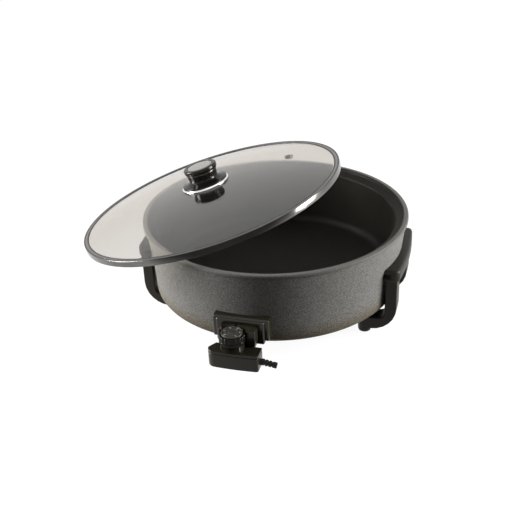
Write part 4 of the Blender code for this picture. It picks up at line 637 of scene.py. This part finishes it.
# Steam vent: a small stainless eyelet, rolled over on both sides of the glass round its own hole.
# It stands square to the slope of the dome.
vent_slope = math.atan(2.0 * DOME_RISE * VENT_REACH / DOME_RADIUS ** 2)
vent_axes = (lid_axes @ Matrix.Rotation(VENT_TURN, 4, "Z")
             @ Matrix.Translation((VENT_REACH, 0.0, dome_under(VENT_REACH) + GLASS_WALL / 2))
             @ Matrix.Rotation(vent_slope, 4, "Y"))
vent_steel = grained_finish("vent_steel", (0.10, 0.095, 0.085), 0.24, size=0.0009, change=0.30,
                            depth=0.00001, metallic=1.0)
vent_line = soft_line((
    (0.0022, -0.0034, 0.0003), (0.0064, -0.0034, 0.0004), (0.0064, -0.0023, 0.0003),
    (0.0043, -0.0023, 0.0), (0.0043, 0.0023, 0.0), (0.0068, 0.0023, 0.0003),
    (0.0068, 0.0034, 0.0006), (0.0022, 0.0034, 0.0008)), steps=4)
turned_piece("vent_eyelet", vent_line, 48, vent_steel, "lid", ("steam_vent",),
             axes=vent_axes)

# Knob: a bright ring on the glass, a flared black base with a waist, a thin metal collar coloured dark
# to paint the shade between base and cap, and a gloss black cap with a brushed disc let into its top.
# One screw and a silicone washer from below.
KNOB_STEPS = 128
ring_bright = turned_metal("knob_ring_chrome", (0.74, 0.73, 0.71), 0.12, lines=500.0, depth=0.00001,
                           centre=LID_PLACE, slant=LID_SLANT)
seat_line = soft_line((
    (0.0300, 0.0331, 0.0003), (0.0378, 0.0326, 0.0003), (0.0391, 0.0325, 0.0004),
    (0.0390, 0.0336, 0.0006), (0.0374, 0.0353, 0.0006), (0.0300, 0.0353, 0.0003)), steps=4)
turned_piece("knob_ring", seat_line, KNOB_STEPS, ring_bright, "lid",
             ("knob_seat_ring",))

gloss_black = grained_finish("knob_gloss_black", (0.0052, 0.0045, 0.0030), 0.17, size=0.0200,
                             change=0.25, depth=0.00001, Specular_IOR_Level=0.24)
base_line = soft_line((
    (0.0, 0.0331, 0.0), (0.0285, 0.0331, 0.0004), (0.0285, 0.0355, 0.0), (0.0368, 0.0355, 0.0004),
    (0.0368, 0.0374, 0.0009), (0.0300, 0.0388, 0.0040), (0.0243, 0.0416, 0.0008),
    (0.0238, 0.0420, 0.0004), (0.0238, 0.0465, 0.0020), (0.0248, 0.0522, 0.0008),
    (0.0248, 0.0535, 0.0005), (0.0, 0.0535, 0.0)), steps=8)
turned_piece("knob_foot", base_line, KNOB_STEPS, gloss_black, "lid",
             ("knob_base",), closed=False)

# Painted shade: the collar is a real metal piece, but its dark colour stands for the shade in the gap
# between base and cap.
trim_painted_shade = grained_finish("knob_trim_painted_shade", (0.075, 0.072, 0.066), 0.22, size=0.0100, change=0.30,
                           depth=0.00001, metallic=1.0)
collar_line = soft_line(((0.0, 0.0538, 0.0), (0.0256, 0.0538, 0.0005), (0.0256, 0.0554, 0.0005),
                         (0.0, 0.0554, 0.0)), steps=4)
turned_piece("knob_trim", collar_line, KNOB_STEPS, trim_painted_shade, "lid",
             ("knob_collar",), closed=False)

cap_line = soft_line((
    (0.0, 0.0557, 0.0), (0.0262, 0.0557, 0.0008), (0.0272, 0.0582, 0.0010),
    (0.0272, 0.0635, 0.0026), (0.0204, 0.0635, 0.0006), (0.0202, 0.0622, 0.0003),
    (0.0, 0.0622, 0.0)), steps=8)
turned_piece("knob_top", cap_line, KNOB_STEPS, gloss_black, "lid", ("knob_cap",),
             closed=False)

DISC_RADIUS = 0.0198
DISC_BEVEL = 0.0006
DISC_EDGE = 0.06324
DISC_CROWN = 0.00084
brushed_disc = turned_metal("brushed_disc", (0.42, 0.40, 0.375), 0.30, lines=1500.0, depth=0.00003,
                            centre=LID_PLACE, slant=LID_SLANT)
disc_line = [(0.0, 0.0623), (DISC_RADIUS, 0.0623)]
for step in range(3):
    disc_line.append((DISC_RADIUS - DISC_BEVEL * step / 2, 0.0630 + 0.00012 * step))
for step in range(1, 7):
    out = 1.0 - step / 6
    disc_line.append(((DISC_RADIUS - DISC_BEVEL) * out, DISC_EDGE + DISC_CROWN * (1.0 - out ** 2)))
turned_piece("knob_disc", disc_line, KNOB_STEPS, brushed_disc, "lid",
             ("knob_inset",), closed=False)

washer_silicone = grained_finish("washer_silicone", (0.62, 0.60, 0.56), 0.48, size=0.0008,
                                 change=0.16, depth=0.00002)
dress(washer_silicone, "knob_washer")
dress(plated_steel, "knob_screw")

# Plug-in control: a moulded tray below and a cover above it, with the dial's collar and the neck
# that enters the socket. Sprung sleeves and the probe rod sit in the neck, the switch in the tray.
control_black = grained_finish("control_black", (0.0175, 0.0148, 0.0095), 0.22, size=0.0009,
                               change=0.40, depth=0.00002, Specular_IOR_Level=0.23)
moulded_piece("control_base", "control_tray", control_black, "control")
moulded_piece("control_cover", "control_lid", control_black, "control")
probe_steel = grained_finish("probe_steel", (0.66, 0.66, 0.66), 0.20, size=0.0008, change=0.22,
                             depth=0.00001, metallic=1.0)
dress(nickel_pins, "contact_sleeve_left", "contact_sleeve_right")
dress(probe_steel, "thermostat_probe")
dress(fired_ceramic, "thermostat_switch")
dress(plated_steel, "control_screw_1", "control_screw_2")

# Strain relief: a soft black rubber sleeve with rings cut round it, so that it bends evenly where
# the lead would enter. It is gripped in the end wall of the tray.
relief_rubber = grained_finish("relief_rubber", (0.0085, 0.0072, 0.0050), 0.45, size=0.0007,
                               change=0.45, depth=0.00005, Specular_IOR_Level=0.20)
moulded_piece("strain_relief", "lead_sleeve", relief_rubber, "control")

# Thermostat dial: a fluted gloss black grip that turns on its collar, and on it a round plate with
# turned rings and a ring of plain numbers, printed in grey.
DIAL_PLACE = (-0.0055, -0.2345, 0.0)
FLUTES = 18
STEPS_PER_FLUTE = 12
FLUTE_DEPTH = 0.0008
GRIP_INSIDE = 0.0183
GRIP_LOW = 0.0329
dial_axes = Matrix.Translation(DIAL_PLACE)
dial_black = grained_finish("dial_black", (0.0060, 0.0050, 0.0032), 0.20, size=0.0008, change=0.35,
                            depth=0.00002, Specular_IOR_Level=0.11)
dial_line = soft_line((
    (0.0, 0.0276, 0.0), (0.0175, 0.0274, 0.0), (0.0192, 0.0274, 0.0006), (0.0192, 0.0318, 0.0006),
    (0.0182, 0.0322, 0.0003), (0.0182, 0.0328, 0.0003), (0.0196, 0.0332, 0.0005),
    (0.0196, 0.0366, 0.0), (0.0196, 0.0410, 0.0022), (0.0160, 0.0410, 0.0004),
    (0.0158, 0.0404, 0.0002), (0.0, 0.0404, 0.0)), steps=6)
dial_shape = turned_shape(dial_line, FLUTES * STEPS_PER_FLUTE, closed=False)
for point in dial_shape.verts:
    reach = math.hypot(point.co.x, point.co.y)
    if reach > GRIP_INSIDE and point.co.z > GRIP_LOW:
        turn = math.atan2(point.co.y, point.co.x)
        flute = (0.5 - 0.5 * math.cos(FLUTES * turn)) ** 2
        narrowed = 1.0 - FLUTE_DEPTH * flute / reach
        point.co.x *= narrowed
        point.co.y *= narrowed
dial_shape.transform(dial_axes)
set_in_place(dial_shape, "dial_grip", dial_black, "thermostat_dial", ("dial",))

plate_black = turned_metal("plate_black", (0.030, 0.027, 0.022), 0.34, lines=1400.0, depth=0.00002,
                           centre=DIAL_PLACE, metallic=0.0)
plate_line = soft_line((
    (0.0, 0.0405, 0.0), (0.0155, 0.0405, 0.0), (0.0155, 0.0429, 0.0007), (0.0142, 0.0429, 0.0003),
    (0.0138, 0.0424, 0.0002), (0.0092, 0.0424, 0.0002), (0.0088, 0.0428, 0.0002),
    (0.0080, 0.0428, 0.0002), (0.0076, 0.0424, 0.0002), (0.0052, 0.0424, 0.0002),
    (0.0048, 0.0428, 0.0002), (0.0, 0.0429, 0.0)), steps=3)
turned_piece("dial_top_plate", plate_line, 144, plate_black, "thermostat_dial",
             ("dial_plate",), axes=dial_axes, closed=False)

NUMBER_SIZE = 0.0046
NUMBER_REACH = 0.0114
NUMBER_HEIGHT = 0.04242
FIRST_NUMBER_TURN = -135.0
NUMBER_TURN = 54.0
print_grey = grained_finish("print_grey", (0.55, 0.53, 0.49), 0.50, size=0.0006, change=0.30,
                            depth=0.00001)
numbers_shape = bmesh.new()
for index, label in enumerate(("0", "1", "2", "3", "4", "5")):
    turn = math.radians(FIRST_NUMBER_TURN + NUMBER_TURN * index)
    figure = bpy.data.curves.new("figure", "FONT")
    figure.body = label
    figure.size = NUMBER_SIZE
    figure.extrude = 0.00006
    figure.align_x = "CENTER"
    figure.align_y = "CENTER"
    figure_object = bpy.data.objects.new("figure", figure)
    bpy.context.scene.collection.objects.link(figure_object)
    bpy.context.view_layer.update()
    figure_mesh = bpy.data.meshes.new_from_object(
        figure_object.evaluated_get(bpy.context.evaluated_depsgraph_get()))
    figure_mesh.transform(dial_axes @ Matrix.Rotation(-turn, 4, "Z")
                          @ Matrix.Translation((0.0, NUMBER_REACH, NUMBER_HEIGHT)))
    numbers_shape.from_mesh(figure_mesh)
    bpy.data.objects.remove(figure_object)
    bpy.data.curves.remove(figure)
    bpy.data.meshes.remove(figure_mesh)
set_in_place(numbers_shape, "dial_numbers", print_grey, "thermostat_dial")
dress(plated_steel, "dial_spindle")
